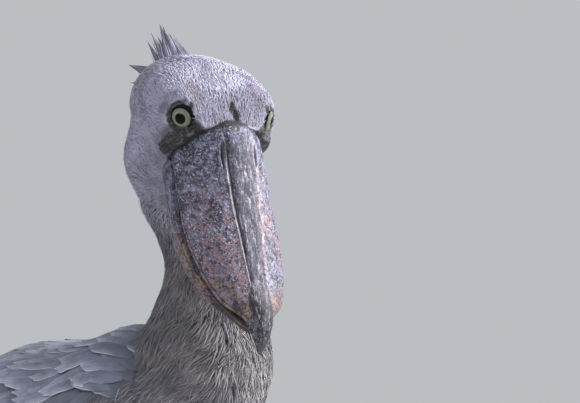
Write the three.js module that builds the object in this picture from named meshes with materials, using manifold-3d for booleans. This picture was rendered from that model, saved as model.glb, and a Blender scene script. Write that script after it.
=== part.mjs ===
// A life-size shoebill standing at rest, its neck drawn back and its head turned to its right and bowed.
// Millimetres, +Z up, the bird's chest faces -Y and its left side is +X. It stands on flats under its toes.
import * as THREE from "three";
import { mergeVertices } from "three/addons/utils/BufferGeometryUtils.js";
import Module from "manifold-3d";

// Driving sizes, in millimetres and degrees.
const gap = 0.3; // clearance between two pieces that touch
const eyeHeight = 1000; // the point between the eyes, above the ground
const eyeSide = -45; // and to the left of the body's middle plane
const eyeBack = -233; // and behind the middle of the feet
const headTurn = 30.5; // to its right, from straight ahead
const headBow = 51; // the bill below the horizontal
const headTilt = -3.5; // its left side down
const ballRadius = 14; // an eyeball
const lidRadius = 9.8; // the opening between the lids
const billTip = 188; // the hook, in front of the eyes
const neckRadius = 43; // with its plumes, where it is thinnest
const legSide = 62; // a leg from the middle plane
const heelHeight = 245; // the ankle joint above the ground
const stride = 24; // the left foot ahead of the right one
const middleToe = 163;
const featherThickness = 0.9;

const wasm = await Module();
wasm.setup();

// Colours of the finishes.
const finish = (name, color, roughness) => new THREE.MeshStandardMaterial({ name, color, roughness, metalness: 0 });
const plumage = finish("plumage", 0x8f93a0, 0.9);
const flightFeather = finish("flight_feather", 0x4b4f59, 0.7);
const horn = finish("bill_horn", 0x8a7a80, 0.55);
const iris = finish("eye", 0xc9cf9a, 0.15);
const legSkin = finish("leg_skin", 0x4a4a4e, 0.65);
const claw = finish("claw", 0x2b2725, 0.45);

// Numbers in the range 0 to 1 that repeat from run to run.
function draws(seed) {
  let state = seed;
  return () => {
    state = (state * 16807) % 2147483647;
    return state / 2147483647;
  };
}

// A smooth curve through rows of [place, value, value, ...]: gives the values at any place.
function through(rows) {
  const size = rows[0].length - 1;
  const places = rows.map((row) => row[0]);
  const curve = new THREE.CubicInterpolant(places, rows.flatMap((row) => row.slice(1)), size);
  return (place) => {
    const held = Math.min(Math.max(place, places[0]), places[places.length - 1]);
    return Array.from(curve.evaluate(held));
  };
}

// How far a dome of the given depth has opened at a distance from its tip, 0 to 1.
function dome(distance, depth) {
  const left = 1 - Math.min(Math.max(distance / depth, 0), 1);
  return Math.sqrt(1 - left * left);
}

// A point on an oval section: squareness 1 is an ellipse and less is squarer.
function oval(angle, halfWidth, up, down, squareness = 1) {
  const cos = Math.cos(angle);
  const sin = Math.sin(angle);
  const side = halfWidth * Math.sign(cos) * Math.abs(cos) ** squareness;
  const height = (sin > 0 ? up : down) * Math.sign(sin) * Math.abs(sin) ** squareness;
  return [side, height];
}

// A closed skin: point(turn, along) gives each place, turn going once round and along running from pole to pole.
function skin(around, alongSteps, point) {
  const geometry = new THREE.SphereGeometry(1, around, alongSteps);
  const place = geometry.getAttribute("position");
  for (let i = 0; i < place.count; i++) {
    const ring = Math.floor(i / (around + 1));
    const isPole = ring === 0 || ring === alongSteps;
    const turn = isPole ? 0 : (i % (around + 1) % around) / around;
    const p = point(turn * 2 * Math.PI, ring / alongSteps);
    place.setXYZ(i, p.x, p.y, p.z);
  }
  return geometry;
}

// A body along an axis. Its rows are [place, half width, middle, up, down], and its two ends close as domes.
function bodyAlong({ rows, domes, around, steps, squareness = 1, put }) {
  const at = through(rows);
  const start = rows[0][0];
  const end = rows[rows.length - 1][0];
  return skin(around, steps, (angle, along) => {
    const place = start + (end - start) * (1 - Math.cos(Math.PI * along)) / 2;
    const [halfWidth, middle, up, down] = at(place);
    const open = dome(place - start, domes[0]) * dome(end - place, domes[1]);
    const [side, height] = oval(angle, halfWidth * open, up * open, down * open, squareness);
    return put(place, side, middle + height);
  });
}

// A limb round a curve. Its points are [x, y, z, radius], and its two ends close as domes.
// A limb that lies on the ground is flat underneath.
function limb({ points, domes, around, steps, flatten = 1, grounded = false }) {
  const curve = new THREE.CatmullRomCurve3(points.map(([x, y, z]) => new THREE.Vector3(x, y, z)));
  const length = curve.getLength();
  const radiusAt = through(points.map((point, i) => [i / (points.length - 1), point[3]]));
  const aside = new THREE.Vector3(1, 0, 0);
  return skin(around, steps, (angle, along) => {
    const share = (1 - Math.cos(Math.PI * along)) / 2;
    const middle = curve.getPoint(share);
    const ahead = curve.getTangent(share);
    const side = aside.clone().addScaledVector(ahead, -aside.dot(ahead)).normalize();
    const over = new THREE.Vector3().crossVectors(ahead, side);
    const open = dome(share * length, domes[0]) * dome((1 - share) * length, domes[1]);
    const radius = radiusAt(share)[0] * open;
    middle.addScaledVector(side, radius * Math.cos(angle));
    middle.addScaledVector(over, radius * flatten * Math.sin(angle));
    if (grounded) middle.z = Math.max(middle.z, 0);
    return middle;
  });
}

// A thin plate: point(along, across, face) gives each place, along 0 to 1 at the given shares, across -1 to 1,
// and face 1 on top and -1 below. Both faces are split into triangles alike.
function plate(shares, acrossSteps, point) {
  const sheet = new THREE.PlaneGeometry(2, 1, acrossSteps, shares.length - 1);
  const across = acrossSteps + 1;
  const count = sheet.getAttribute("position").count;
  const places = [];
  for (const face of [1, -1]) {
    for (let i = 0; i < count; i++) {
      const p = point(shares[Math.floor(i / across)], 2 * (i % across) / acrossSteps - 1, face);
      places.push(p.x, p.y, p.z);
    }
  }
  const top = Array.from(sheet.index.array);
  const faces = [...top];
  for (let i = 0; i < top.length; i += 3) faces.push(top[i] + count, top[i + 2] + count, top[i + 1] + count);
  const rows = shares.length;
  const rim = [];
  for (let row = 0; row < rows; row++) rim.push(row * across);
  for (let column = 1; column < across; column++) rim.push((rows - 1) * across + column);
  for (let row = rows - 2; row >= 0; row--) rim.push(row * across + acrossSteps);
  for (let column = acrossSteps - 1; column > 0; column--) rim.push(column);
  rim.forEach((from, i) => {
    const to = rim[(i + 1) % rim.length];
    faces.push(to, from, from + count, to, from + count, to + count);
  });
  const geometry = new THREE.BufferGeometry();
  geometry.setAttribute("position", new THREE.Float32BufferAttribute(places, 3));
  geometry.setIndex(faces);
  return geometry;
}

// A geometry with its shared points merged and its faces pointing out.
function closed(geometry) {
  const bare = new THREE.BufferGeometry();
  bare.setAttribute("position", geometry.getAttribute("position"));
  bare.setIndex(geometry.index);
  const merged = mergeVertices(bare, 1e-3);
  const place = merged.getAttribute("position");
  const index = merged.index.array;
  const corner = (i) => new THREE.Vector3().fromBufferAttribute(place, index[i]);
  let volume = 0;
  for (let i = 0; i < index.length; i += 3) volume += corner(i).dot(corner(i + 1).cross(corner(i + 2)));
  if (volume < 0) {
    for (let i = 0; i < index.length; i += 3) [index[i + 1], index[i + 2]] = [index[i + 2], index[i + 1]];
  }
  return merged;
}

// The solid of a closed geometry, grown outwards by a margin so that it can cut its neighbour with a gap.
function solid(geometry, margin = 0) {
  const shape = closed(geometry);
  const place = shape.getAttribute("position");
  if (margin > 0) {
    shape.computeVertexNormals();
    const normal = shape.getAttribute("normal");
    for (let i = 0; i < place.count; i++) {
      place.setXYZ(i, place.getX(i) + margin * normal.getX(i), place.getY(i) + margin * normal.getY(i),
        place.getZ(i) + margin * normal.getZ(i));
    }
  }
  return new wasm.Manifold(new wasm.Mesh({
    numProp: 3,
    vertProperties: new Float32Array(place.array),
    triVerts: new Uint32Array(shape.index.array),
  }));
}

const grown = (geometry) => solid(geometry, gap + 0.1);
const joined = (solids) => solids.reduce((whole, piece) => whole.add(piece));
const cutBy = (whole, cutters) => cutters.reduce((left, cutter) => left.subtract(cutter), whole);

const bird = new THREE.Group();

// Adds a node to the bird: the largest closed body of a solid.
function addNode(name, shape, material) {
  const largest = shape.decompose().reduce((a, b) => (a.volume() > b.volume() ? a : b));
  const { vertProperties, triVerts } = largest.getMesh();
  const geometry = new THREE.BufferGeometry();
  geometry.setAttribute("position", new THREE.BufferAttribute(vertProperties, 3));
  geometry.setIndex(new THREE.BufferAttribute(triVerts, 1));
  const mesh = new THREE.Mesh(geometry, material.clone());
  mesh.name = name;
  bird.add(mesh);
}

// The head's own frame has its origin between the eyes, x along the bill, y to the left and z over the crown.
const toRadians = THREE.MathUtils.degToRad;
const headPlace = new THREE.Matrix4().compose(
  new THREE.Vector3(eyeSide, eyeBack, eyeHeight),
  new THREE.Quaternion().setFromEuler(
    new THREE.Euler(toRadians(headTilt), toRadians(headBow), toRadians(-90 - headTurn), "ZYX"),
  ),
  new THREE.Vector3(1, 1, 1),
);
const onHead = (x, y, z) => new THREE.Vector3(x, y, z).applyMatrix4(headPlace);
const inHeadFrame = (geometry) => geometry.applyMatrix4(headPlace);

// An egg: a sphere stretched to half sizes, turned and set in the head's frame.
function egg({ at, half, turn = [0, 0, 0], around = 12, steps = 8 }) {
  const geometry = new THREE.SphereGeometry(1, around, steps);
  geometry.scale(...half);
  geometry.applyMatrix4(new THREE.Matrix4().makeRotationFromEuler(new THREE.Euler(...turn.map(toRadians), "ZYX")));
  geometry.translate(...at);
  return inHeadFrame(geometry);
}

// Skull, with cheeks and throat: [place along the bill, half width, widest level, up, down].
const skull = bodyAlong({
  rows: [
    [-88, 38, -36, 32, 34],
    [-68, 47, -31, 28, 42],
    [-44, 52, -23, 33, 52],
    [-18, 53, -14, 33, 58],
    [2, 48.5, -17, 34, 56],
    [17, 42, -25, 39, 46],
    [26, 38, -30, 41, 40],
  ],
  domes: [34, 9],
  around: 22,
  steps: 14,
  squareness: 0.82,
  put: onHead,
});

// Where each eye sits, which way it looks, and the ring of its lids. A side is -1 on the right and 1 on the left.
function eyeOf(side) {
  const looks = new THREE.Vector3(0.6, 0.72 * side, 0.345).normalize();
  const middle = new THREE.Vector3(-5.5, 30.5 * side, -1);
  const turned = new THREE.Quaternion().setFromUnitVectors(new THREE.Vector3(0, 0, 1), looks);
  const ringDepth = Math.sqrt(ballRadius ** 2 - lidRadius ** 2);
  return { looks, middle, turned, rim: middle.clone().addScaledVector(looks, ringDepth) };
}

function eyeball(side, around = 12, steps = 8) {
  const { middle } = eyeOf(side);
  return inHeadFrame(new THREE.SphereGeometry(ballRadius, around, steps).translate(...middle));
}

function lids(side) {
  const { turned, rim } = eyeOf(side);
  const ring = new THREE.TorusGeometry(lidRadius + 0.6, 2.2, 4, 12);
  ring.applyQuaternion(turned);
  ring.translate(...rim);
  return inHeadFrame(ring);
}

// The bare hollow that each eye looks out of.
function orbit(side) {
  const { looks, rim } = eyeOf(side);
  const outside = rim.clone().addScaledVector(looks, 13);
  return inHeadFrame(new THREE.SphereGeometry(17.5, 11, 7).translate(...outside));
}

const brow = (side) => egg({ at: [0, 31 * side, 11], half: [20, 6, 6], turn: [0, 6, -28 * side], around: 8, steps: 5 });

// The nape, which rounds the back of the head into the neck.
const nape = egg({ at: [-60, 0, -52], half: [28, 40, 34], turn: [0, 20, 0], around: 14, steps: 8 });

// Crest feathers on the nape, which point back: [root left, root up, length, aside, lift, half width].
const crestFeathers = [
  [-4, -28, 40, -9, 0, 6.4],
  [3, -26, 28, -6, 5, 6],
  [-11, -31, 35, -15, -2, 5.6],
  [10, -30, 20, 2, 2, 6],
  [-8, -36, 31, -12, -10, 5.6],
  [2, -36, 27, 0, -10, 5.8],
  [-18, -38, 32, -44, -12, 5],
  [-19, -45, 21, -46, -32, 4.4],
  [-4, -44, 25, -4, -22, 5.2],
];

function crestFeather([y, z, length, aside, lift, halfWidth]) {
  const [turn, rise] = [toRadians(aside), toRadians(lift)];
  const ahead = new THREE.Vector3(-Math.cos(turn) * Math.cos(rise), Math.sin(turn), Math.sin(rise)).normalize();
  const over = new THREE.Vector3(0, 0, 1).addScaledVector(ahead, -ahead.z).normalize();
  const across = new THREE.Vector3().crossVectors(ahead, over);
  const sunk = 14;
  const root = new THREE.Vector3(-85 + 0.014 * (y * y + (z + 34) ** 2), y, z);
  return skin(6, 4, (angle, along) => {
    const taper = along < 0.4 ? dome(along, 0.4) : 1 - ((along - 0.4) / 0.6) ** 2;
    const p = root.clone().addScaledVector(ahead, -sunk + (length + sunk) * along);
    p.addScaledVector(across, halfWidth * taper * Math.cos(angle));
    p.addScaledVector(over, 0.3 * halfWidth * taper * Math.sin(angle) + 4 * along * along);
    return onHead(p.x, p.y, p.z);
  });
}

// Neck, from inside the head down into the chest: [x, y, z, radius].
const neck = limb({
  points: [
    [-6, -166, 1044, neckRadius - 14],
    [-11, -171, 1016, neckRadius - 1],
    [-15, -174, 984, neckRadius + 6],
    [-7, -173, 954, neckRadius + 6],
    [5, -177, 924, neckRadius + 1],
    [12, -186, 892, neckRadius - 1],
    [12, -190, 868, neckRadius - 1],
    [8, -188, 842, neckRadius + 4],
    [3, -178, 806, neckRadius + 19],
    [0, -140, 742, neckRadius + 32],
  ],
  domes: [36, 40],
  around: 20,
  steps: 16,
});

// Torso: [place, half width, middle height, up, down].
const torsoRows = [
  [-232, 70, 716, 66, 92],
  [-190, 88, 706, 98, 128],
  [-135, 106, 690, 142, 154],
  [-60, 116, 662, 149, 160],
  [10, 118, 646, 142, 150],
  [80, 108, 634, 126, 126],
  [150, 88, 624, 100, 92],
  [215, 62, 613, 68, 60],
  [250, 46, 602, 46, 40],
  [282, 34, 590, 24, 22],
];
const torso = bodyAlong({
  rows: torsoRows,
  domes: [58, 24],
  around: 22,
  steps: 14,
  put: (place, side, height) => new THREE.Vector3(side, place, height),
});

// The surface that a folded wing lies on: the torso's flank, carried on past the rump to the wing tips.
const flankAt = through([
  ...torsoRows,
  [330, 42, 588, 26, 20],
  [420, 40, 582, 24, 14],
]);

// Behind the arm it runs straight between stations, so that the long feathers lie on one another without crossing.
const stations = [66, 105, 180, 245, 300, 350, 400];

function flankPoint(side, place, degrees, height) {
  const [halfWidth, middle, up, down] = flankAt(place);
  const flatness = 1 + 0.6 * THREE.MathUtils.smoothstep(place, 225, 300);
  const [out, rise] = oval(toRadians(degrees), halfWidth + height, up + height, down + height, flatness);
  return new THREE.Vector3(side * out, place, middle + rise);
}

function onFlank(side, place, degrees, height) {
  const next = stations.findIndex((station) => station >= place);
  if (next < 1) return flankPoint(side, place, degrees, height);
  const [from, to] = [stations[next - 1], stations[next]];
  const near = flankPoint(side, from, degrees, height);
  return near.lerp(flankPoint(side, to, degrees, height), (place - from) / (to - from));
}

// How many degrees round the flank a distance across it spans.
function flankDegrees(place, distance) {
  const [halfWidth, , up, down] = flankAt(place);
  return THREE.MathUtils.radToDeg(distance / ((halfWidth + (up + down) / 2) / 2 + 10));
}

// The arm of a folded wing lies along the flank. It is thinner at its lower edge than at its upper one.
const armFrom = -208;
const armTo = 66;
const armHeights = through([
  [armFrom, 3, 4], [-170, 7, 9], [-100, 8, 12], [-30, 9, 16], [30, 10, 20], [armTo, 10, 21], [420, 8, 18],
]);
const armEdges = through([[armFrom, 2, 22], [-150, -20, 62], [-60, -29, 76], [0, -31, 82], [armTo, -31, 84]]);

function armHeight(place, degrees) {
  const [lower, upper] = armHeights(place);
  return lower + (upper - lower) * Math.min(Math.max((degrees + 30) / 110, 0), 1);
}

function arm(side) {
  const shares = [0, 0.08, 0.22, 0.44, 0.68, 0.9, 1];
  return plate(shares, 5, (along, across, face) => {
    const place = armFrom + (armTo - armFrom) * along;
    const [low, high] = armEdges(place);
    const degrees = (low + high) / 2 + across * (high - low) / 2;
    const full = armHeight(place, degrees);
    const open = (1 - 0.5 * Math.abs(across) ** 8) * dome(along, 0.1) * (along > 0.9 ? 1 - 3 * (along - 0.9) : 1);
    return onFlank(side, place, degrees, face > 0 ? 2.6 + (full - 2.6) * open : 1.8);
  });
}

// The shoulder, which joins the arm to the torso.
function shoulder(side) {
  const middle = onFlank(side, -120, 22, -8);
  const geometry = new THREE.SphereGeometry(1, 8, 6).scale(13, 44, 42);
  return geometry.translate(...middle);
}

const vaneOutline = through([[0, 0.55], [0.3, 0.92], [0.65, 1], [0.88, 0.78], [1, 0.3]]);

// One vane on a wing, from its root inside the arm to its tip. Its height comes from heightAt(along, across, degrees).
function wingVane({ side, root, degrees, drift, length, halfWidth, shares, heightAt }) {
  return plate(shares, 2, (along, across, face) => {
    const place = root + length * along;
    const middle = degrees + drift * along;
    const reach = across * halfWidth * vaneOutline(along)[0];
    const turned = Math.min(middle + flankDegrees(place, reach), 88.5);
    const thick = featherThickness * (across === 0 ? 0.55 : 0.4);
    return onFlank(side, place, turned, heightAt({ along, across, place, turned }) + face * thick);
  });
}

// Coverts, in tiers from the shoulder back. Each leaves the arm at a slant and ends over the roots of the next tier.
const coverts = [
  { root: -182, count: 5, from: -14, to: 50, length: 84, halfWidth: 23 },
  { root: -130, count: 6, from: -22, to: 64, length: 104, halfWidth: 25 },
  { root: -68, count: 7, from: -23, to: 74, length: 132, halfWidth: 26 },
];

function covertTier(side, seed, { root, count, from, to, length, halfWidth }) {
  const draw = draws(seed);
  return Array.from({ length: count }, (_, i) => {
    const share = i / (count - 1);
    const bow = 1 - (2 * share - 1) ** 2;
    return wingVane({
      side, halfWidth,
      root: root + 8 * bow - 4 + 3 * (draw() - 0.5),
      degrees: from + (to - from) * share,
      drift: 2 * (draw() - 0.5),
      length: length * (0.97 + 0.06 * draw()),
      shares: [0, 0.78, 1],
      heightAt: ({ along, across, place, turned }) =>
        armHeight(place, turned) - 4 + 8 * along - 1.2 * across,
    });
  });
}

// Flight feathers, in one stack: the long outer ones beneath, then the inner ones up to the back.
const outerCount = 3;
const innerCount = 7;
const stackStep = 1.8;

function flightFeathers(side, seed) {
  const draw = draws(seed);
  return Array.from({ length: outerCount + innerCount }, (_, i) => {
    const isOuter = i < outerCount;
    const share = isOuter ? i / (outerCount - 1) : (i - outerCount) / (innerCount - 1);
    const [root, tip] = isOuter ? [44, 392 - 24 * share] : [20, 346 - 56 * share];
    const layer = 2.4 + stackStep * i;
    const length = tip - root + 6 * (draw() - 0.5);
    const between = stations.filter((place) => place > armTo && place < tip - 24);
    return wingVane({
      side, root,
      length,
      halfWidth: isOuter ? 18 : 24,
      degrees: isOuter ? -10 + 22 * share : -16 + 88 * share,
      drift: 0,
      shares: [0, ...between.map((place) => (place - root) / length), 1 - 18 / length, 1],
      heightAt: () => layer,
    });
  });
}

function wing(side, seed) {
  const vanes = coverts.flatMap((row, i) => covertTier(side, seed + i, row));
  vanes.push(...flightFeathers(side, seed + 11));
  return joined([arm(side), shoulder(side), ...vanes].map((piece) => solid(piece)));
}

// Tail: a fan of feathers, the middle one on top, out of a root in the rump.
const tailRoot = { y: 250, z: 577 };
const tailCount = 9;
const tailSlope = -0.2;

function tailFeather(number) {
  const offset = number - (tailCount - 1) / 2;
  const fan = toRadians(4.2 * offset);
  const length = 206 - 1.6 * offset * offset;
  const shares = [0, 0.4, 0.92, 1];
  return plate(shares, 2, (along, across, face) => {
    const reach = across * 21 * vaneOutline(0.25 + 0.7 * along)[0];
    const far = length * along;
    const side = 2.2 * offset + far * Math.sin(fan) + reach * Math.cos(fan);
    const place = tailRoot.y + far * Math.cos(fan) - reach * Math.sin(fan);
    const tilt = Math.sign(offset) * across * 1.2 * (0.3 + 0.7 * along);
    const stack = -1.7 * Math.abs(offset) * (0.25 + 0.75 * along) - (offset > 0 ? 0.8 : 0) * along;
    const height = tailRoot.z + tailSlope * (place - tailRoot.y) + stack - tilt;
    return new THREE.Vector3(side, place, height + face * featherThickness * (across === 0 ? 0.7 : 0.45));
  });
}

function tail() {
  const root = new THREE.SphereGeometry(1, 14, 7).scale(26, 30, 10).translate(0, tailRoot.y + 14, tailRoot.z - 3);
  const vanes = Array.from({ length: tailCount }, (_, number) => tailFeather(number));
  return joined([root, ...vanes].map((piece) => solid(piece)));
}

// Upper half of the bill: [place, half width, edge level, ridge level, half width of the ridge].
const upperRows = [
  [-12, 36, -32, 24, 13],
  [20, 38, -35, 15, 13],
  [50, 40.5, -42, 4, 12.5],
  [80, 41.5, -46.5, -6.5, 11.5],
  [118, 38.5, -47, -18, 9],
  [140, 32.5, -46.5, -24.5, 7.5],
  [156, 24, -45, -29, 6.5],
  [168, 13.5, -43.5, -33, 6],
  [176, 8.5, -45, -37.5, 5],
];
const upperAt = through(upperRows);

function upperBill() {
  const start = upperRows[0][0];
  const end = upperRows[upperRows.length - 1][0];
  const around = 24;
  return skin(around, 14, (angle, along) => {
    const place = start + (end - start) * Math.sin(Math.PI * along / 2) ** 0.9;
    const [halfWidth, edge, ridge, band] = upperAt(place);
    const open = dome(place - start, 6) * dome(end - place, 6);
    const [side, height] = oval(angle, halfWidth * open, (ridge - edge) * open, 2.2 * open, 0.96);
    const fromBand = Math.abs(side) / band;
    const raised = Math.sin(angle) > 0.3 ? 1.4 * open * Math.exp(-(fromBand ** 6)) : 0;
    return onHead(place, side, edge + height + raised);
  });
}

const hook = () => inHeadFrame(limb({
  points: [[150, 0, -37, 9], [166, 0, -39.5, 9.5], [179, 0, -44.5, 9], [185.5, 0, -52, 6.5], [billTip, 0, -61, 2.4]],
  domes: [8, 4],
  around: 8,
  steps: 8,
}));

// A slit on each side of the ridge, near its root.
const nostril = (side) => egg({ at: [41, 14.4 * side, 6.5], half: [8, 1.5, 4], turn: [0, 18, -6 * side], around: 8, steps: 5 });

// Lower half of the bill: [place, half width, edge level, up, down].
const lowerBill = () => bodyAlong({
  rows: [
    [-14, 36, -38, 2.6, 42],
    [20, 37.5, -40, 1.8, 43],
    [50, 40, -46.5, 1.6, 39],
    [80, 40.5, -51, 1.6, 34],
    [118, 37, -51.5, 1.6, 27],
    [142, 29.5, -51, 1.6, 21],
    [160, 19, -50, 1.6, 15],
    [180, 8, -50, 2, 9],
  ],
  domes: [6, 8],
  around: 18,
  steps: 11,
  squareness: 0.82,
  put: onHead,
});

// Feathered thigh and bare leg: points down from the hip, [x, y, z, radius].
const thighEnd = 352;
const thigh = (side, ahead) => limb({
  points: [
    [side * 54, -38 - ahead, 580, 50], [side * 58, -34 - ahead, 520, 50],
    [side * 61, -18 - ahead, 440, 37], [side * legSide, 4 - ahead, thighEnd, 19], [side * legSide, 8 - ahead, 336, 15],
  ],
  domes: [30, 6],
  around: 14,
  steps: 10,
});

const shank = (side, ahead) => limb({
  points: [
    [side * legSide, -2 - ahead, 392, 9], [side * legSide, 6 - ahead, 340, 9.5], [side * legSide, 18 - ahead, 290, 10],
    [side * legSide, 27 - ahead, heelHeight, 15], [side * legSide, 20 - ahead, 195, 10.5],
    [side * legSide, 11 - ahead, 130, 9.5], [side * legSide, 3 - ahead, 60, 10], [side * legSide, -2 - ahead, 8, 13],
  ],
  domes: [6, 6],
  around: 10,
  steps: 14,
});
const shankTop = 360;
const shankFoot = 21;

function sole(side, ahead) {
  const geometry = new THREE.SphereGeometry(1, 12, 7).scale(19, 24, 17).translate(side * legSide, -6 - ahead, 9);
  const place = geometry.getAttribute("position");
  for (let i = 0; i < place.count; i++) place.setZ(i, Math.max(place.getZ(i), 0));
  return geometry;
}

// Toes: [name, degrees outwards from straight ahead, length, number of joints].
const toes = [
  ["middle", 4, middleToe, 4],
  ["inner", -25, 0.78 * middleToe, 3],
  ["outer", 32, 0.86 * middleToe, 4],
  ["hind", 168, 0.52 * middleToe, 2],
];
const toeRadius = 8.2;
const clawLength = 19;

function toeFrame(side, ahead, degrees) {
  const turn = toRadians(degrees);
  const way = new THREE.Vector3(side * Math.sin(turn), -Math.cos(turn), 0);
  return { way, from: new THREE.Vector3(side * legSide, -6 - ahead, 0) };
}

function toe(side, ahead, [, degrees, length, joints]) {
  const { way, from } = toeFrame(side, ahead, degrees);
  const aside = new THREE.Vector3(-way.y, way.x, 0);
  return skin(7, 4 * joints, (angle, along) => {
    const far = 4 + (length - 4) * along;
    const knuckle = 0.9 * Math.max(0, Math.cos(2 * Math.PI * joints * along));
    const radius = (toeRadius * (1 - 0.36 * along) + knuckle) * dome(along, 0.04) * dome(1 - along, 0.05);
    const p = from.clone().addScaledVector(way, far).addScaledVector(aside, radius * Math.cos(angle));
    p.z = Math.max(0, toeRadius * (0.86 - 0.3 * along) + radius * Math.sin(angle));
    return p;
  });
}

function toeClaw(side, ahead, [, degrees, length]) {
  const { way, from } = toeFrame(side, ahead, degrees);
  const aside = new THREE.Vector3(-way.y, way.x, 0);
  return skin(5, 4, (angle, along) => {
    const far = length - 7 + (clawLength + 7) * along;
    const radius = 4 * (1 - along ** 1.6) * dome(along, 0.1);
    const p = from.clone().addScaledVector(way, far).addScaledVector(aside, 0.8 * radius * Math.cos(angle));
    p.z = Math.max(0.4, 6.6 - 5.2 * along * along + radius * Math.sin(angle));
    return p;
  });
}

// Head: skull and upper neck joined, with brows, lids, sockets and crest.
const headCut = { normal: [0, 0.35, 1], through: [0, -172, 936] };
const neckCut = { normal: [0, -0.42, 1], through: [0, -178, 806] };
const offsetOf = ({ normal, through: [x, y, z] }) => {
  const [a, b, c] = normal;
  return (a * x + b * y + c * z) / Math.hypot(a, b, c);
};
const above = (shape, cut, margin = 0) => shape.trimByPlane(cut.normal, offsetOf(cut) + margin);
const below = (shape, cut) => shape.trimByPlane(cut.normal.map((n) => -n), -offsetOf(cut));

const sides = [["right", -1], ["left", 1]];
const neckSolid = solid(neck);
const headFlesh = joined([
  solid(skull),
  solid(nape),
  above(neckSolid, headCut, gap),
  ...sides.map(([, side]) => solid(brow(side))),
]);
const hollowed = cutBy(headFlesh, sides.map(([, side]) => solid(orbit(side))));
const lidded = joined([hollowed, ...sides.map(([, side]) => solid(lids(side)))]);
const head = cutBy(lidded, sides.map(([, side]) => solid(eyeball(side), gap + 0.1)));
addNode("head", joined([head, ...crestFeathers.map((feather) => solid(crestFeather(feather)))]), plumage);
for (const [name, side] of sides) addNode(`eye_${name}`, solid(eyeball(side)), iris);

// Bill: both halves end at the face, and the lower one ends under the hook.
const face = [grown(skull), above(grown(neck), headCut, -gap), ...sides.map(([, side]) => grown(brow(side)))];
const bothEyes = sides.map(([, side]) => grown(eyeball(side)));
const upper = joined([solid(upperBill()), solid(hook())]);
addNode("bill_upper", cutBy(upper, [...face, ...bothEyes, ...sides.map(([, side]) => solid(nostril(side)))]), horn);
addNode("bill_lower", cutBy(solid(lowerBill()), [grown(hook()), ...face, grown(neck)]), horn);

// Neck and torso, parted by a thin cut.
const neckOnly = above(below(neckSolid, headCut), neckCut, gap);
addNode("neck", cutBy(neckOnly, [grown(skull), grown(torso)]), plumage);
addNode("torso", joined([solid(torso), below(neckSolid, neckCut)]), plumage);

// Wings and tail, cut clear of the torso.
for (const [name, side] of sides) {
  addNode(`wing_${name}`, cutBy(wing(side, 7 + 40 * (side + 1)), [grown(torso), grown(neck)]), flightFeather);
}
addNode("tail", cutBy(tail(), [grown(torso)]), flightFeather);

// Legs and feet.
for (const [name, side] of sides) {
  const ahead = side > 0 ? stride : 0;
  const thighSolid = solid(thigh(side, ahead)).trimByPlane([0, 0, 1], thighEnd);
  addNode(`thigh_${name}`, cutBy(thighSolid, [grown(torso), solid(arm(side), 1.5)]), plumage);
  const bare = solid(shank(side, ahead));
  const leg = bare.trimByPlane([0, 0, -1], -(thighEnd - gap)).trimByPlane([0, 0, 1], shankFoot);
  addNode(`leg_${name}`, leg, legSkin);
  const foot = solid(sole(side, ahead)).trimByPlane([0, 0, -1], -(shankFoot - gap));
  addNode(`foot_${name}`, foot, legSkin);
  const middleSolid = grown(toe(side, ahead, toes[0]));
  for (const digit of toes) {
    const digitName = `${digit[0]}_${name}`;
    const neighbours = digit === toes[0] ? [] : [middleSolid];
    addNode(`toe_${digitName}`, cutBy(solid(toe(side, ahead, digit)), [grown(sole(side, ahead)), ...neighbours]), legSkin);
    addNode(`claw_${digitName}`, cutBy(solid(toeClaw(side, ahead, digit)), [grown(toe(side, ahead, digit))]), claw);
  }
}

// The origin is on the ground, under the middle of the bird's box.
const box = new THREE.Box3().setFromObject(bird);
const middle = box.getCenter(new THREE.Vector3());
bird.position.set(-middle.x, -middle.y, -box.min.z);

export default bird;
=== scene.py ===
"""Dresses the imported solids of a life-size shoebill, which stands still with its head turned and bowed.

Sizes are in millimetres in the bird's own frame: its chest faces -Y and its left side is +X.
"""

from __future__ import annotations

import logging
import math
import sys
from dataclasses import dataclass, field
from enum import Enum
from typing import Callable, Sequence

import bpy
import numpy as np
from bpy.types import Material, Node, NodeSocket, NodeTree, Object
from mathutils import Matrix, Vector
from mathutils.bvhtree import BVHTree

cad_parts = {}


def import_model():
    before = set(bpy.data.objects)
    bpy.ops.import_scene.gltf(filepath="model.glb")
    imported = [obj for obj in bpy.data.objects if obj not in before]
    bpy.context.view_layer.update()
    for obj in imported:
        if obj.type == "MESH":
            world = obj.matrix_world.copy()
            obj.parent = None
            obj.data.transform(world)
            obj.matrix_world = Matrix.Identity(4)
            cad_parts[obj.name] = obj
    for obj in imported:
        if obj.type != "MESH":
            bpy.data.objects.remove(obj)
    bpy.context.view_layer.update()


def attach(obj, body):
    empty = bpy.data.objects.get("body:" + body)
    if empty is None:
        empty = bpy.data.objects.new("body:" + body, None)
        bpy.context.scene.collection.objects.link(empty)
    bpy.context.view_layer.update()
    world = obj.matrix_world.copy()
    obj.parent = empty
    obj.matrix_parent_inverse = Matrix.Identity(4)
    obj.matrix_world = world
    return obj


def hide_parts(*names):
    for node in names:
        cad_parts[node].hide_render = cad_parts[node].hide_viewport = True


LOG = logging.getLogger("shoebill")
ARRAY = np.ndarray
ROWS = tuple[tuple[float, ...], ...]
LOOKS = dict[str, NodeSocket]
PAINT = tuple[int, int, int]
POINT = Sequence[float]
SHAPE = Callable[[ARRAY, ARRAY], ARRAY]
RISE = Callable[[ARRAY, ARRAY, ARRAY], ARRAY]
SURFACE = Callable[[ARRAY, ARRAY, ARRAY, ARRAY], ARRAY]
FIELD = Callable[[ARRAY], ARRAY]
BODY = "root"
FRAME_SHIFT = np.array([0.0, -74.235, 0.0])
MM = 0.001
LEG_SIDE = 62.0


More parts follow.
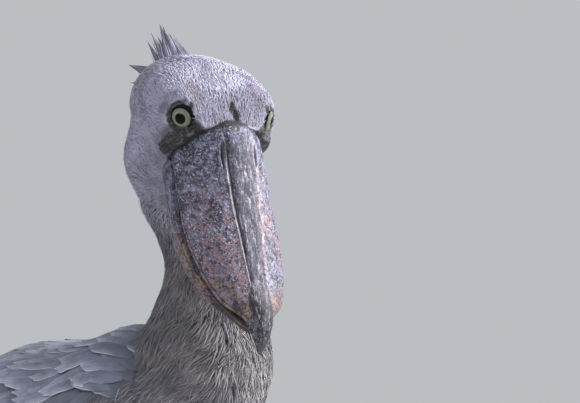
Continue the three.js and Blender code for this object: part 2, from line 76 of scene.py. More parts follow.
class Side(Enum):
    """A side of the bird, by the sign of X."""

    RIGHT = -1
    LEFT = 1

    @property
    def word(self) -> str:
        """The side's name as the solids spell it."""
        return self.name.lower()


STRIDE = {Side.RIGHT: 0.0, Side.LEFT: 24.0}


# Geometry helpers


def to_row(points: ARRAY) -> ARRAY:
    """Turns the bird's millimetres into the frame's metres."""
    return (np.asarray(points, float) + FRAME_SHIFT) * MM


def to_bird(points: ARRAY) -> ARRAY:
    """Turns the frame's metres into the bird's millimetres."""
    return np.asarray(points, float) / MM - FRAME_SHIFT


def unit(vectors: ARRAY) -> ARRAY:
    """Scales each vector to length one."""
    return vectors / np.maximum(np.linalg.norm(vectors, axis=-1, keepdims=True), 1e-9)


def flattened(vectors: ARRAY, normals: ARRAY) -> ARRAY:
    """Lays each vector into the surface that its normal gives."""
    return unit(vectors - normals * np.sum(vectors * normals, axis=-1, keepdims=True))


def step(value: ARRAY, low: float, high: float) -> ARRAY:
    """Rises smoothly from 0 at low to 1 at high."""
    share = np.clip((np.asarray(value, float) - low) / (high - low), 0, 1)
    return share * share * (3 - 2 * share)


def bell(value: ARRAY, width: float) -> ARRAY:
    """A bump of height one round zero."""
    return np.exp(-((np.asarray(value, float) / width) ** 2))


def strip(points: ARRAY, start: POINT, end: POINT, radius: float, soft: float = 1.2) -> ARRAY:
    """One along a strip between two places and nought away from it."""
    a, b = np.array(start, float), np.array(end, float)
    share = np.clip((points - a) @ (b - a) / ((b - a) @ (b - a)), 0, 1)
    far = np.linalg.norm(points - (a + share[:, None] * (b - a)), axis=1)
    return step(-far, -radius - soft, -radius + soft)


def ripple(points: ARRAY, size: float, seed: int, waves: int = 7) -> ARRAY:
    """Smooth numbers from about -1 to 1 that vary over space.

    Args:
        points: Places, one a row.
        size: How far apart the numbers' hills stand.
        seed: Which pattern.
        waves: How many waves are laid over one another.

    Returns:
        One number for each place.
    """
    draw = np.random.default_rng(seed)
    total = np.zeros(len(points))
    for _ in range(waves):
        way = unit(draw.normal(size=3))
        pace = 2 * math.pi / size * draw.uniform(0.6, 1.6)
        total += np.sin(points @ way * pace + draw.uniform(0, 2 * math.pi))
    return np.clip(total / (0.62 * waves), -1, 1)


def turned(axis: str, degrees: float) -> ARRAY:
    """The matrix of a turn about one axis."""
    cos, sin = math.cos(math.radians(degrees)), math.sin(math.radians(degrees))
    if axis == "X":
        return np.array([[1, 0, 0], [0, cos, -sin], [0, sin, cos]])
    if axis == "Y":
        return np.array([[cos, 0, sin], [0, 1, 0], [-sin, 0, cos]])
    return np.array([[cos, -sin, 0], [sin, cos, 0], [0, 0, 1]])


def on_ball(turn: ARRAY, share: ARRAY) -> ARRAY:
    """The way out to each place on a ball, from its turn and its share from pole to pole."""
    angle = share * math.pi
    return np.column_stack([np.sin(angle) * np.cos(turn), np.sin(angle) * np.sin(turn), np.cos(angle)])


def dome(distance: ARRAY, depth: float) -> ARRAY:
    """How far a dome of the given depth has opened at a distance from its tip."""
    left = 1 - np.clip(np.asarray(distance, float) / depth, 0, 1)
    return np.sqrt(1 - left * left)


def oval(
    turn: ARRAY, half_width: ARRAY, up: ARRAY, down: ARRAY, squareness: float
) -> tuple[ARRAY, ARRAY]:
    """A point on an oval section, as its place to the side and its height."""
    cos, sin = np.cos(turn), np.sin(turn)
    side = half_width * np.sign(cos) * np.abs(cos) ** squareness
    height = np.where(sin > 0, up, down) * np.sign(sin) * np.abs(sin) ** squareness
    return side, height


class Profile:
    """A smooth curve through rows of place and values."""

    def __init__(self, rows: Sequence[POINT]) -> None:
        """Takes rows of [place, value, value, ...]."""
        table = np.array(rows, float)
        self.places = table[:, 0]
        self.values = table[:, 1:]
        gaps = np.diff(self.places)[:, None]
        slopes = np.diff(self.values, axis=0) / gaps
        inner = (slopes[:-1] * gaps[1:] + slopes[1:] * gaps[:-1]) / (gaps[:-1] + gaps[1:])
        self.tangents = np.vstack([slopes[:1], inner, slopes[-1:]])

    def __call__(self, place: ARRAY) -> ARRAY:
        """The values at each place, one column a value."""
        held = np.clip(np.asarray(place, float), self.places[0], self.places[-1])
        i = np.clip(np.searchsorted(self.places, held, side="right") - 1, 0, len(self.places) - 2)
        gap = (self.places[i + 1] - self.places[i])[..., None]
        t = (held - self.places[i])[..., None] / gap
        near, far = self.values[i], self.values[i + 1]
        leave, arrive = self.tangents[i] * gap, self.tangents[i + 1] * gap
        return (
            (2 * t**3 - 3 * t**2 + 1) * near
            + (t**3 - 2 * t**2 + t) * leave
            + (3 * t**2 - 2 * t**3) * far
            + (t**3 - t**2) * arrive
        )


@dataclass(frozen=True)
class HeadFrame:
    """The head's own frame: from between the eyes, x along the bill, y left and z over the crown."""

    place: tuple[float, float, float] = (-45.0, -233.0, 1000.0)
    turn: float = 30.5
    bow: float = 51.0
    tilt: float = -3.5

    @property
    def axes(self) -> ARRAY:
        """The head's axes, one a column."""
        return turned("Z", -90 - self.turn) @ turned("Y", self.bow) @ turned("X", self.tilt)

    def out(self, points: ARRAY) -> ARRAY:
        """Takes places in the head's frame into the bird's."""
        return np.asarray(points, float) @ self.axes.T + np.array(self.place)

    def into(self, points: ARRAY) -> ARRAY:
        """Takes places in the bird's frame into the head's."""
        return (np.asarray(points, float) - np.array(self.place)) @ self.axes


HEAD = HeadFrame()


def drawn_back(local: ARRAY) -> ARRAY:
    """How far the feathers' edge is drawn back towards the corner of the bill, in the head's frame."""
    return 0.25 * np.clip(-local[:, 2] - 12, 0, 26)


# Mesh helpers


def deselect() -> None:
    """Leaves nothing selected."""
    if bpy.context.mode != "OBJECT":
        bpy.ops.object.mode_set(mode="OBJECT")
    bpy.ops.object.select_all(action="DESELECT")


def choose(piece: Object) -> None:
    """Selects one object and makes it active."""
    deselect()
    piece.select_set(True)
    bpy.context.view_layer.objects.active = piece


def points_of(piece: Object) -> ARRAY:
    """A mesh's points as they are stored."""
    flat = np.empty(len(piece.data.vertices) * 3)
    piece.data.vertices.foreach_get("co", flat)
    return flat.reshape(-1, 3)


def places_of(piece: Object) -> ARRAY:
    """A mesh's points in the bird's frame."""
    return to_bird(points_of(piece))


def set_places(piece: Object, places: ARRAY) -> None:
    """Moves a mesh's points to places in the bird's frame."""
    piece.data.vertices.foreach_set("co", to_row(places).ravel())
    piece.data.update()


def normals_of(piece: Object) -> ARRAY:
    """A mesh's normals at its points."""
    flat = np.empty(len(piece.data.vertices) * 3)
    piece.data.vertex_normals.foreach_get("vector", flat)
    return flat.reshape(-1, 3)


def turn_outwards(piece: Object, merge: bool) -> None:
    """Turns a mesh's faces outwards, after it has merged doubles if it is asked to."""
    choose(piece)
    bpy.ops.object.mode_set(mode="EDIT")
    bpy.ops.mesh.select_all(action="SELECT")
    if merge:
        bpy.ops.mesh.remove_doubles(threshold=1e-7)
    bpy.ops.mesh.normals_make_consistent(inside=False)
    deselect()


def shade_smooth(piece: Object) -> None:
    """Shades a mesh smooth."""
    choose(piece)
    bpy.ops.object.shade_smooth()
    deselect()


def finish_mesh(piece: Object, name: str) -> Object:
    """Merges doubles, turns the faces outwards and shades the mesh smooth."""
    piece.name = name
    piece.data.name = name
    turn_outwards(piece, merge=True)
    shade_smooth(piece)
    return piece


def moulded(name: str, segments: int, rings: int, shape: SHAPE) -> Object:
    """Adds a ball and moulds it.

    Args:
        name: The piece's name.
        segments: Faces round it.
        rings: Faces from pole to pole.
        shape: Gives each place in the bird's millimetres from the turn and the share from pole to pole.

    Returns:
        The moulded piece.
    """
    deselect()
    bpy.ops.mesh.primitive_uv_sphere_add(segments=segments, ring_count=rings, radius=1)
    piece = bpy.context.object
    ball = points_of(piece)
    turn = np.arctan2(ball[:, 1], ball[:, 0])
    share = np.arccos(np.clip(ball[:, 2], -1, 1)) / math.pi
    set_places(piece, shape(turn, share))
    return finish_mesh(piece, name)


def put_attribute(piece: Object, name: str, values: ARRAY) -> None:
    """Stores one number or one vector for each point of a mesh."""
    values = np.asarray(values, np.float32)
    kind, key = ("FLOAT_VECTOR", "vector") if values.ndim == 2 else ("FLOAT", "value")
    layer = piece.data.attributes.new(name, kind, "POINT")
    layer.data.foreach_set(key, values.ravel())


def apply_modifier(piece: Object, kind: str, **settings: object) -> None:
    """Adds a modifier and applies it."""
    choose(piece)
    modifier = piece.modifiers.new(kind.title(), kind)
    for key, value in settings.items():
        setattr(modifier, key, value)
    bpy.ops.object.modifier_apply(modifier=modifier.name)
    deselect()


def joined(pieces: Sequence[Object], name: str) -> Object:
    """Joins pieces into one."""
    deselect()
    for piece in pieces:
        piece.select_set(True)
    bpy.context.view_layer.objects.active = pieces[0]
    bpy.ops.object.join()
    whole = bpy.context.view_layer.objects.active
    whole.name = name
    whole.data.name = name
    deselect()
    return whole


def fused(pieces: Sequence[Object], name: str, voxel: float, smoothing: int) -> Object:
    """Fuses closed pieces into one skin.

    Args:
        pieces: Closed pieces that reach into one another.
        name: The skin's name.
        voxel: The size of its faces, in millimetres.
        smoothing: How often it is smoothed.

    Returns:
        The skin, one closed body.
    """
    whole = joined(pieces, name)
    apply_modifier(whole, "REMESH", mode="VOXEL", voxel_size=voxel * MM, adaptivity=0)
    apply_modifier(whole, "SMOOTH", factor=0.5, iterations=smoothing)
    shade_smooth(whole)
    return whole


def limb(points: Sequence[POINT], domes: tuple[float, float], squash: float = 1.0) -> SHAPE:
    """The shape of a limb round a curve.

    Args:
        points: Rows of [x, y, z, radius] along it.
        domes: How deep the domes at its two ends are.
        squash: How deep it is for its width.

    Returns:
        A shape for moulded().
    """
    rows = [[i / (len(points) - 1), *point] for i, point in enumerate(points)]
    curve = Profile(rows)
    length = float(np.sum(np.linalg.norm(np.diff(np.array(points)[:, :3], axis=0), axis=1)))

    def shape(turn: ARRAY, share: ARRAY) -> ARRAY:
        """Places each point of the limb."""
        along = (1 - np.cos(math.pi * share)) / 2
        row = curve(along)
        ahead = unit(curve(along + 1e-3)[:, :3] - curve(along - 1e-3)[:, :3])
        side = flattened(np.broadcast_to([1.0, 0, 0], ahead.shape), ahead)
        over = np.cross(ahead, side)
        opened = dome(along * length, domes[0]) * dome((1 - along) * length, domes[1])
        radius = (row[:, 3] * opened)[:, None]
        around = squash * side * np.cos(turn)[:, None] + over * np.sin(turn)[:, None]
        return row[:, :3] + radius * around

    return shape


def body_along(rows: ROWS, domes: tuple[float, float], squareness: float, put: FIELD) -> SHAPE:
    """The shape of a body along an axis.

    Args:
        rows: Rows of [place, half width, middle, up, down].
        domes: How deep the domes at its two ends are.
        squareness: 1 for round sections and less for squarer ones.
        put: Takes [place, side, height] into the bird's frame.

    Returns:
        A shape for moulded().
    """
    at = Profile(rows)
    start, end = rows[0][0], rows[-1][0]

    def shape(turn: ARRAY, share: ARRAY) -> ARRAY:
        """Places each point of the body."""
        place = start + (end - start) * (1 - np.cos(math.pi * share)) / 2
        half_width, middle, up, down = at(place).T
        opened = dome(place - start, domes[0]) * dome(end - place, domes[1])
        side, height = oval(turn, half_width * opened, up * opened, down * opened, squareness)
        return put(np.column_stack([place, side, middle + height]))

    return shape


class Flock:
    """Collects many small closed meshes, each with its maps, and makes them one piece."""

    def __init__(self) -> None:
        """Starts empty."""
        self.points: list[ARRAY] = []
        self.faces: list[ARRAY] = []
        self.vanes: list[ARRAY] = []
        self.patches: list[ARRAY] = []
        self.tones: list[ARRAY] = []
        self.count = 0

    def add(self, points: ARRAY, faces: ARRAY, vane: ARRAY, patch: ARRAY, tone: ARRAY) -> None:
        """Adds copies that share their faces.

        Args:
            points: Places in the bird's frame, [copy, point, 3].
            faces: Corners of each face of one copy.
            vane: Each point's place across and along its feather, [point, 2].
            patch: Each point's place on the unwrap, [copy, point, 2].
            tone: How pale each copy is, from 0 to 1.
        """
        copies, size = points.shape[:2]
        starts = self.count + size * np.arange(copies)
        self.points.append(points.reshape(-1, 3))
        self.faces.append((faces[None] + starts[:, None, None]).reshape(-1, faces.shape[1]))
        self.vanes.append(np.broadcast_to(vane, (copies, size, 2)).reshape(-1, 2))
        self.patches.append(patch.reshape(-1, 2))
        self.tones.append(np.repeat(tone, size))
        self.count += copies * size

    def make(self, name: str) -> Object:
        """Makes the piece, smooth, with its Vane and OFBake maps and its Tone."""
        points = to_row(np.concatenate(self.points))
        corners = np.concatenate([face.ravel() for face in self.faces])
        sizes = np.concatenate([np.full(len(face), face.shape[1]) for face in self.faces])
        mesh = bpy.data.meshes.new(name)
        mesh.vertices.add(len(points))
        mesh.vertices.foreach_set("co", points.ravel())
        mesh.loops.add(len(corners))
        mesh.loops.foreach_set("vertex_index", corners)
        mesh.polygons.add(len(sizes))
        mesh.polygons.foreach_set("loop_start", np.concatenate([[0], np.cumsum(sizes)[:-1]]))
        mesh.update(calc_edges=True)
        mesh.validate()
        for layer_name, values in (("Vane", self.vanes), ("OFBake", self.patches)):
            layer = mesh.uv_layers.new(name=layer_name)
            layer.data.foreach_set("uv", np.concatenate(values)[corners].astype(np.float32).ravel())
        piece = bpy.data.objects.new(name, mesh)
        bpy.context.scene.collection.objects.link(piece)
        put_attribute(piece, "Tone", np.concatenate(self.tones))
        shade_smooth(piece)
        return piece


# Material helpers


class Bench:
    """Lays out one node tree."""

    def __init__(self, tree: NodeTree) -> None:
        """Takes the tree to fill."""
        self.tree = tree

    def node(self, kind: str, inputs: dict | None = None, **settings: object) -> Node:
        """Adds a node and joins or fills its inputs."""
        made = self.tree.nodes.new(kind)
        made.location = (180 * (len(self.tree.nodes) % 12), -220 * (len(self.tree.nodes) // 12))
        for key, value in settings.items():
            setattr(made, key, value)
        self.fill(made, inputs or {})
        return made

    def fill(self, made: Node, inputs: dict) -> None:
        """Joins sockets to a node's inputs and sets the others to plain values."""
        for key, value in inputs.items():
            if isinstance(value, NodeSocket):
                self.tree.links.new(value, made.inputs[key])
            else:
                made.inputs[key].default_value = value

    def math(self, operation: str, first: object, second: object = 0.0) -> NodeSocket:
        """Reckons with one or two numbers."""
        return self.node("ShaderNodeMath", {0: first, 1: second}, operation=operation).outputs[0]

    def times(self, first: object, second: object) -> NodeSocket:
        """Multiplies two numbers."""
        return self.math("MULTIPLY", first, second)

    def plus(self, first: object, second: object) -> NodeSocket:
        """Adds two numbers."""
        return self.math("ADD", first, second)

    def minus(self, first: object, second: object) -> NodeSocket:
        """Takes the second number from the first."""
        return self.math("SUBTRACT", first, second)

    def larger(self, first: object, second: object) -> NodeSocket:
        """The larger of two numbers."""
        return self.math("MAXIMUM", first, second)

    def mix(self, share: object, first: object, second: object) -> NodeSocket:
        """Mixes two colours."""
        made = self.node("ShaderNodeMix", data_type="RGBA", blend_type="MIX", clamp_factor=True)
        self.fill(made, {0: share, 6: first, 7: second})
        return made.outputs[2]

    def over(self, base: object, mask: object, paint: PAINT, strength: float = 1.0) -> NodeSocket:
        """Lays a paint over a colour where the mask says."""
        return self.mix(mask if strength == 1 else self.times(mask, strength), base, colour(*paint))

    def blend(self, pattern: object, low: float, high: float, first: PAINT, second: PAINT) -> NodeSocket:
        """Goes from one paint to another as a pattern rises from low to high."""
        return self.mix(self.span(pattern, low, high), colour(*first), colour(*second))

    def dimmed(self, tint: object, value: object) -> NodeSocket:
        """A colour made darker or paler."""
        return self.node("ShaderNodeHueSaturation", {"Value": value, "Color": tint}).outputs[0]

    def shared(self, name: str, inputs: dict) -> object:
        """Places a shared group and gives its outputs."""
        return self.node("ShaderNodeGroup", inputs, node_tree=bpy.data.node_groups[name]).outputs

    def flecks(self, place: object, scale: float, low: float, high: float) -> NodeSocket:
        """One on worn flecks and nought between them."""
        return self.shared("Flecks", {"Place": place, "Scale": scale, "Low": low, "High": high})["Mask"]

    def give(self, sockets: LOOKS) -> None:
        """Joins a group's outputs."""
        self.node("NodeGroupOutput", sockets)

    def span(
        self, value: object, low: object, high: object, to_low: float = 0.0, to_high: float = 1.0
    ) -> NodeSocket:
        """Maps a number smoothly from one range to another."""
        inputs = {0: value, 1: low, 2: high, 3: to_low, 4: to_high}
        return self.node("ShaderNodeMapRange", inputs, interpolation_type="SMOOTHSTEP").outputs[0]

    def noise(
        self, place: object, scale: object, detail: float, rough: float = 0.55, twist: float = 0.0
    ) -> NodeSocket:
        """Cloudy numbers round one half."""
        labels = ("Vector", "Scale", "Detail", "Roughness", "Distortion")
        inputs = dict(zip(labels, (place, scale, detail, rough, twist)))
        return self.node("ShaderNodeTexNoise", inputs).outputs[0]

    def cells(self, place: object, scale: float, feature: str, jumble: float) -> NodeSocket:
        """Distances in a pattern of cells."""
        inputs = {"Vector": place, "Scale": scale, "Randomness": jumble}
        return self.node("ShaderNodeTexVoronoi", inputs, feature=feature).outputs["Distance"]

    def line(self, value: object, middle: float, half: float) -> NodeSocket:
        """One where a number lies close to the middle of a line."""
        return self.span(self.math("ABSOLUTE", self.minus(value, middle)), half, 0.35 * half)

    def stretch(self, place: object, scale: POINT, turn: POINT = (0, 0, 0)) -> NodeSocket:
        """Turns and stretches a place."""
        angles = tuple(math.radians(angle) for angle in turn)
        inputs = {"Vector": place, "Scale": tuple(scale), "Rotation": angles}
        return self.node("ShaderNodeMapping", inputs).outputs[0]

    def in_head(self, place: object) -> NodeSocket:
        """A place in the head's frame, in metres."""
        euler = Matrix(HEAD.axes.tolist()).to_euler()
        start = to_row(np.array(HEAD.place))
        inputs = {"Vector": place, "Location": tuple(start), "Rotation": tuple(euler)}
        return self.node("ShaderNodeMapping", inputs, vector_type="TEXTURE").outputs[0]

    def spot(self, place: object, centre: POINT, half: POINT) -> NodeSocket:
        """One inside a ragged egg in the head's frame, on both sides unless it is near the middle."""
        x, y, z = self.parts(self.in_head(place))
        sideways = y if abs(centre[1]) < 5 else self.math("ABSOLUTE", y)
        mirrored = self.node("ShaderNodeCombineXYZ", {0: x, 1: sideways, 2: z}).outputs[0]
        sizes = tuple(1 / (MM * size) for size in half)
        shift = tuple(-at / size for at, size in zip(centre, half))
        inputs = {"Vector": mirrored, "Location": shift, "Scale": sizes}
        held = self.node("ShaderNodeMapping", inputs).outputs[0]
        far = self.node("ShaderNodeVectorMath", {0: held}, operation="LENGTH").outputs["Value"]
        ragged = self.plus(far, self.times(self.noise(place, 420.0, 3.0, 0.6), 0.6))
        return self.span(ragged, 1.55, 0.95)

    def parts(self, place: object) -> tuple[NodeSocket, ...]:
        """The three numbers of a place."""
        return tuple(self.node("ShaderNodeSeparateXYZ", {0: place}).outputs)

    def own(self, name: str, output: str = "Fac") -> NodeSocket:
        """An attribute of the piece: Fac for a number and Vector for a place."""
        return self.node("ShaderNodeAttribute", attribute_name=name).outputs[output]

    def here(self) -> NodeSocket:
        """The place on the piece, in metres."""
        return self.node("ShaderNodeTexCoord").outputs["Object"]

    def bump(
        self, height: object, strength: float, distance: float, normal: object = None
    ) -> NodeSocket:
        """Relief from heights."""
        inputs = {"Height": height, "Strength": strength, "Distance": distance}
        if normal is not None:
            inputs["Normal"] = normal
        return self.node("ShaderNodeBump", inputs).outputs[0]


def colour(red: int, green: int, blue: int) -> tuple[float, float, float, float]:
    """A paint's colour from its 0 to 255 values."""

    def light(value: int) -> float:
        """One value as light."""
        share = value / 255
        return share / 12.92 if share <= 0.04045 else ((share + 0.055) / 1.055) ** 2.4

    return light(red), light(green), light(blue), 1.0


def group(name: str, inputs: dict[str, float | None], outputs: dict[str, str]) -> Bench:
    """Makes a shared node group.

    Args:
        name: Its name.
        inputs: Its inputs, each with a number, or None for a place.
        outputs: Its outputs, each a float or a color.

    Returns:
        The group's bench.
    """
    tree = bpy.data.node_groups.new(name, "ShaderNodeTree")
    kinds = {"float": "NodeSocketFloat", "color": "NodeSocketColor"}
    for label, default in inputs.items():
        kind = "NodeSocketVector" if default is None else "NodeSocketFloat"
        socket = tree.interface.new_socket(label, in_out="INPUT", socket_type=kind)
        if default is not None:
            socket.default_value = default
    for label, kind in outputs.items():
        tree.interface.new_socket(label, in_out="OUTPUT", socket_type=kinds[kind])
    return Bench(tree)


HEAD_MARKS_AND_SHADE = (
    # Painted shade behind and above each eye, under the overhanging brow; the spots after it are the
    # head's own marks.
    ((-11.5, 48.0, -2.5), (5.0, 6.0, 6.5), 0.45, (84, 78, 82)),
    ((11.0, 33.0, 3.5), (6.5, 7.0, 7.0), 0.85, (40, 38, 38)),
    ((8.0, 43.5, -17.0), (9.0, 9.0, 21.0), 0.6, (84, 80, 86)),
    ((-16.0, 30.0, 20.0), (16.0, 9.0, 10.0), 0.4, (138, 122, 128)),
    ((12.0, 14.0, 15.0), (4.0, 20.0, 7.0), 0.4, (112, 104, 108)),
    ((0.0, 16.0, 17.0), (15.0, 20.0, 11.0), 0.35, (104, 98, 110)),
    ((1.0, 1.2, 18.5), (5.2, 3.0, 6.5), 0.95, (26, 24, 27)),
    ((7.5, 3.8, 16.0), (6.4, 3.8, 7.5), 1.0, (18, 16, 18)),
    ((-5.6, 40.0, 16.0), (3.8, 3.6, 5.0), 0.85, (50, 46, 54)),
    ((-0.4, 34.8, 16.0), (4.4, 3.0, 5.0), 0.9, (50, 46, 54)),
)


def plumage_tones() -> None:
    """The markings that the skin and its plumage share: pale head, brown-grey neck and slate body, with
    painted shade behind each eye under the brow and a painted pool of light on the front of the chest.
    """
    bench = group("PlumageTones", {"Place": None}, {"Color": "color"})
    place = bench.node("NodeGroupInput").outputs["Place"]
    across, along, height = bench.parts(place)
    level = bench.plus(height, bench.times(bench.minus(bench.noise(place, 16.0, 3.0), 0.5), 0.05))
    blotch = bench.noise(place, 55.0, 4.0, 0.6)
    dusty = bench.span(bench.noise(place, 150.0, 4.0, 0.65, 0.6), 0.55, 0.68)
    head = bench.blend(blotch, 0.42, 0.66, (187, 186, 210), (158, 156, 178))
    head = bench.over(head, dusty, (132, 122, 132), 0.5)
    # The head's spots, the first of them painted shade under the brows.
    for centre, half, strength, paint in HEAD_MARKS_AND_SHADE:
        head = bench.over(head, bench.spot(place, centre, half), paint, strength)
    neck = bench.blend(blotch, 0.35, 0.7, (140, 136, 142), (114, 111, 117))
    body = bench.blend(blotch, 0.35, 0.7, (146, 144, 154), (122, 122, 134))
    upper = bench.mix(bench.span(level, 0.880, 0.955), neck, head)
    plain = bench.mix(bench.span(level, 0.66, 0.82), body, upper)
    # Painted light: a paler patch on the front of the chest, on the bird's left side, standing in for the
    # lamp's light there.
    painted_chest_light = bench.times(bench.span(along, -0.19, -0.23), bench.span(level, 0.83, 0.79))
    painted_chest_light = bench.times(painted_chest_light, bench.span(across, -0.022, 0.008))
    bench.give({"Color": bench.over(plain, painted_chest_light, (178, 174, 181), 0.7)})


def vane_marks() -> None:
    """Where a feather's edge, shaft and barbs lie on its Vane map, and where painted shade darkens its
    root end.
    """
    labels = ("Rim", "Shaft", "Barb", "Root", "Fade")
    inputs = {"Vane": None, "Edge": 0.86, "Barbs": 60.0}
    bench = group("VaneMarks", inputs, dict.fromkeys(labels, "float"))
    given = bench.node("NodeGroupInput").outputs
    across, along, _ = bench.parts(given["Vane"])
    off = bench.times(bench.math("ABSOLUTE", bench.minus(across, 0.5)), 2.0)
    wander = bench.noise(given["Vane"], 9.0, 3.0)
    strayed = bench.minus(wander, 0.5)
    side_rim = bench.math("GREATER_THAN", bench.plus(off, bench.times(strayed, 0.06)), given["Edge"])
    end_rim = bench.span(bench.plus(along, bench.times(strayed, 0.04)), 0.955, 0.98)
    late = bench.span(along, 0.25, 0.6)
    lines = bench.times(bench.minus(along, bench.times(off, 0.5)), given["Barbs"])
    edges = bench.larger(bench.span(off, 0.35, 1.0), bench.span(along, 0.7, 1.0))
    bench.give(
        {
            "Rim": bench.larger(bench.times(side_rim, late), end_rim),
            "Shaft": bench.span(off, 0.07, 0.02),
            "Barb": bench.math("SINE", bench.plus(bench.times(lines, 6.283), bench.times(wander, 5.0))),
            # Painted shade towards the root, where the next feather lies over it.
            "Root": bench.span(along, 0.92, 0.4),
            "Fade": bench.times(edges, late),
        }
    )


def flecks() -> None:
    """Masks of worn flecks and pores, for horn and scaly skin."""
    bench = group("Flecks", {"Place": None, "Scale": 60.0, "Low": 0.55, "High": 0.62}, {"Mask": "float"})
    given = bench.node("NodeGroupInput").outputs
    made = bench.noise(given["Place"], given["Scale"], 5.0, 0.68, 0.4)
    bench.give({"Mask": bench.span(made, given["Low"], given["High"])})


@dataclass(frozen=True)
class Finish:
    """What every finish shares: a material with one shader."""

    name: str = "finish"
    roughness: float = 0.7
    sheen: float = 0.0
    specular: float = 0.5

    def paint(self, bench: Bench) -> LOOKS:
        """Lays out the nodes.

        Args:
            bench: The material's bench.

        Returns:
            What is joined to each input of the shader.
        """
        raise NotImplementedError

    def make(self) -> Material:
        """Makes the material."""
        material = bpy.data.materials.new(self.name)
        material.use_nodes = True
        bench = Bench(material.node_tree)
        shader = material.node_tree.nodes["Principled BSDF"]
        plain = {
            "Roughness": self.roughness,
            "Sheen Weight": self.sheen,
            "Sheen Roughness": 0.6,
            "Specular IOR Level": self.specular,
        }
        bench.fill(shader, plain)
        bench.fill(shader, self.paint(bench))
        return material

    def put_on(self, piece: Object) -> None:
        """Makes the material for one piece."""
        piece.data.materials.append(self.make())


@dataclass(frozen=True)
class DownFinish(Finish):
    """Soft plumage: each tuft is darker at its root, painted shade where it lies under its neighbours,
    and a little paler at its tip.
    """

    name: str = "down"
    roughness: float = 0.95
    sheen: float = 0.04
    root: float = 0.92
    tip: float = 1.04
    low: float = 0.91
    high: float = 1.08

    def paint(self, bench: Bench) -> LOOKS:
        """Lays out the nodes."""
        base = bench.shared("PlumageTones", {"Place": bench.here()})["Color"]
        vane = bench.node("ShaderNodeUVMap", uv_map="Vane").outputs[0]
        # The ramp from root to tip: the darker root is painted shade where each tuft lies under its
        # neighbours.
        rise = bench.span(bench.parts(vane)[1], 0.0, 0.85, self.root, self.tip)
        tone = bench.span(bench.own("Tone"), 0.0, 1.0, self.low, self.high)
        hair = bench.noise(bench.stretch(vane, (9.0, 1.4, 1.0)), 2.2, 3.0, 0.6)
        return {
            "Base Color": bench.dimmed(base, bench.times(rise, tone)),
            "Normal": bench.bump(hair, 0.35, 0.0006),
        }


@dataclass(frozen=True)
class VaneFinish(Finish):
    """A firm vane with a shaft, barbs and a pale worn edge, darkened towards its root by painted shade.
    """

    name: str = "vane"
    roughness: float = 0.66
    sheen: float = 0.1
    web: PAINT = (126, 129, 149)
    dark: PAINT = (90, 92, 108)
    rim: PAINT = (196, 197, 210)
    edge: float = 0.93
    barbs: float = 15.0

    def paint(self, bench: Bench) -> LOOKS:
        """Lays out the nodes."""
        vane = bench.node("ShaderNodeUVMap", uv_map="Vane").outputs[0]
        marks = bench.shared("VaneMarks", {"Vane": vane, "Edge": self.edge, "Barbs": self.barbs})
        whole = bench.blend(bench.noise(bench.here(), 90.0, 4.0, 0.6), 0.35, 0.68, self.web, self.dark)
        # The root's dark is painted shade; the shaft, fade and rim are laid over the ground as marks of
        # the feather.
        for mark, strength in (("Root", 0.7), ("Shaft", 0.6), ("Fade", 0.3), ("Rim", 0.8)):
            paint = self.dark if mark in ("Root", "Shaft") else self.rim
            whole = bench.over(whole, marks[mark], paint, strength)
        streak = bench.span(marks["Barb"], -1.0, 1.0, 0.92, 1.06)
        value = bench.times(bench.span(bench.own("Tone"), 0.0, 1.0, 0.8, 1.22), streak)
        relief = bench.bump(marks["Shaft"], 0.5, 0.0008, bench.bump(marks["Barb"], 0.25, 0.0003))
        return {"Base Color": bench.dimmed(whole, value), "Normal": relief}


@dataclass(frozen=True)
class SkinFinish(Finish):
    """The body's skin: plumage-coloured and darkened as painted shade underneath the plumes, and dark
    where it is bare, with painted shade in its creases and along the plumage's edge at the bill.
    """

    name: str = "bare_skin"
    roughness: float = 0.72

    def paint(self, bench: Bench) -> LOOKS:
        """Lays out the nodes."""
        place = bench.here()
        # Under the plumes the skin takes the plumage's colour, darkened as painted shade.
        under = bench.dimmed(bench.shared("PlumageTones", {"Place": place})["Color"], 0.72)
        x, _, z = bench.parts(bench.in_head(place))
        back = bench.minus(bench.times(z, 0.3), x)
        strayed = bench.plus(back, bench.times(bench.noise(place, 110.0, 3.0, 0.6), 0.009))
        waves = bench.math("SINE", bench.times(strayed, 2300.0))
        # Painted shade in the creases and wrinkles of the bare skin and along the plumage's edge at the
        # bill.
        crease = bench.larger(bench.own("Crease"), bench.span(waves, 0.3, 0.95, 0.0, 0.9))
        patch = bench.noise(place, 160.0, 4.0, 0.65)
        skin = bench.blend(patch, 0.35, 0.65, (72, 69, 75), (38, 36, 40))
        marked = bench.over(skin, bench.spot(place, (11.0, 33.0, 3.5), (7.0, 7.0, 8.0)), (44, 42, 44))
        crease_shaded = bench.over(marked, crease, (28, 26, 28), 0.85)
        dusted = bench.over(crease_shaded, bench.flecks(place, 420.0, 0.54, 0.64), (160, 157, 168), 0.35)
        grain = bench.plus(patch, bench.noise(place, 900.0, 3.0, 0.6))
        return {
            "Base Color": bench.mix(bench.own("Bare"), under, dusted),
            "Normal": bench.bump(grain, 0.45, 0.0007),
        }


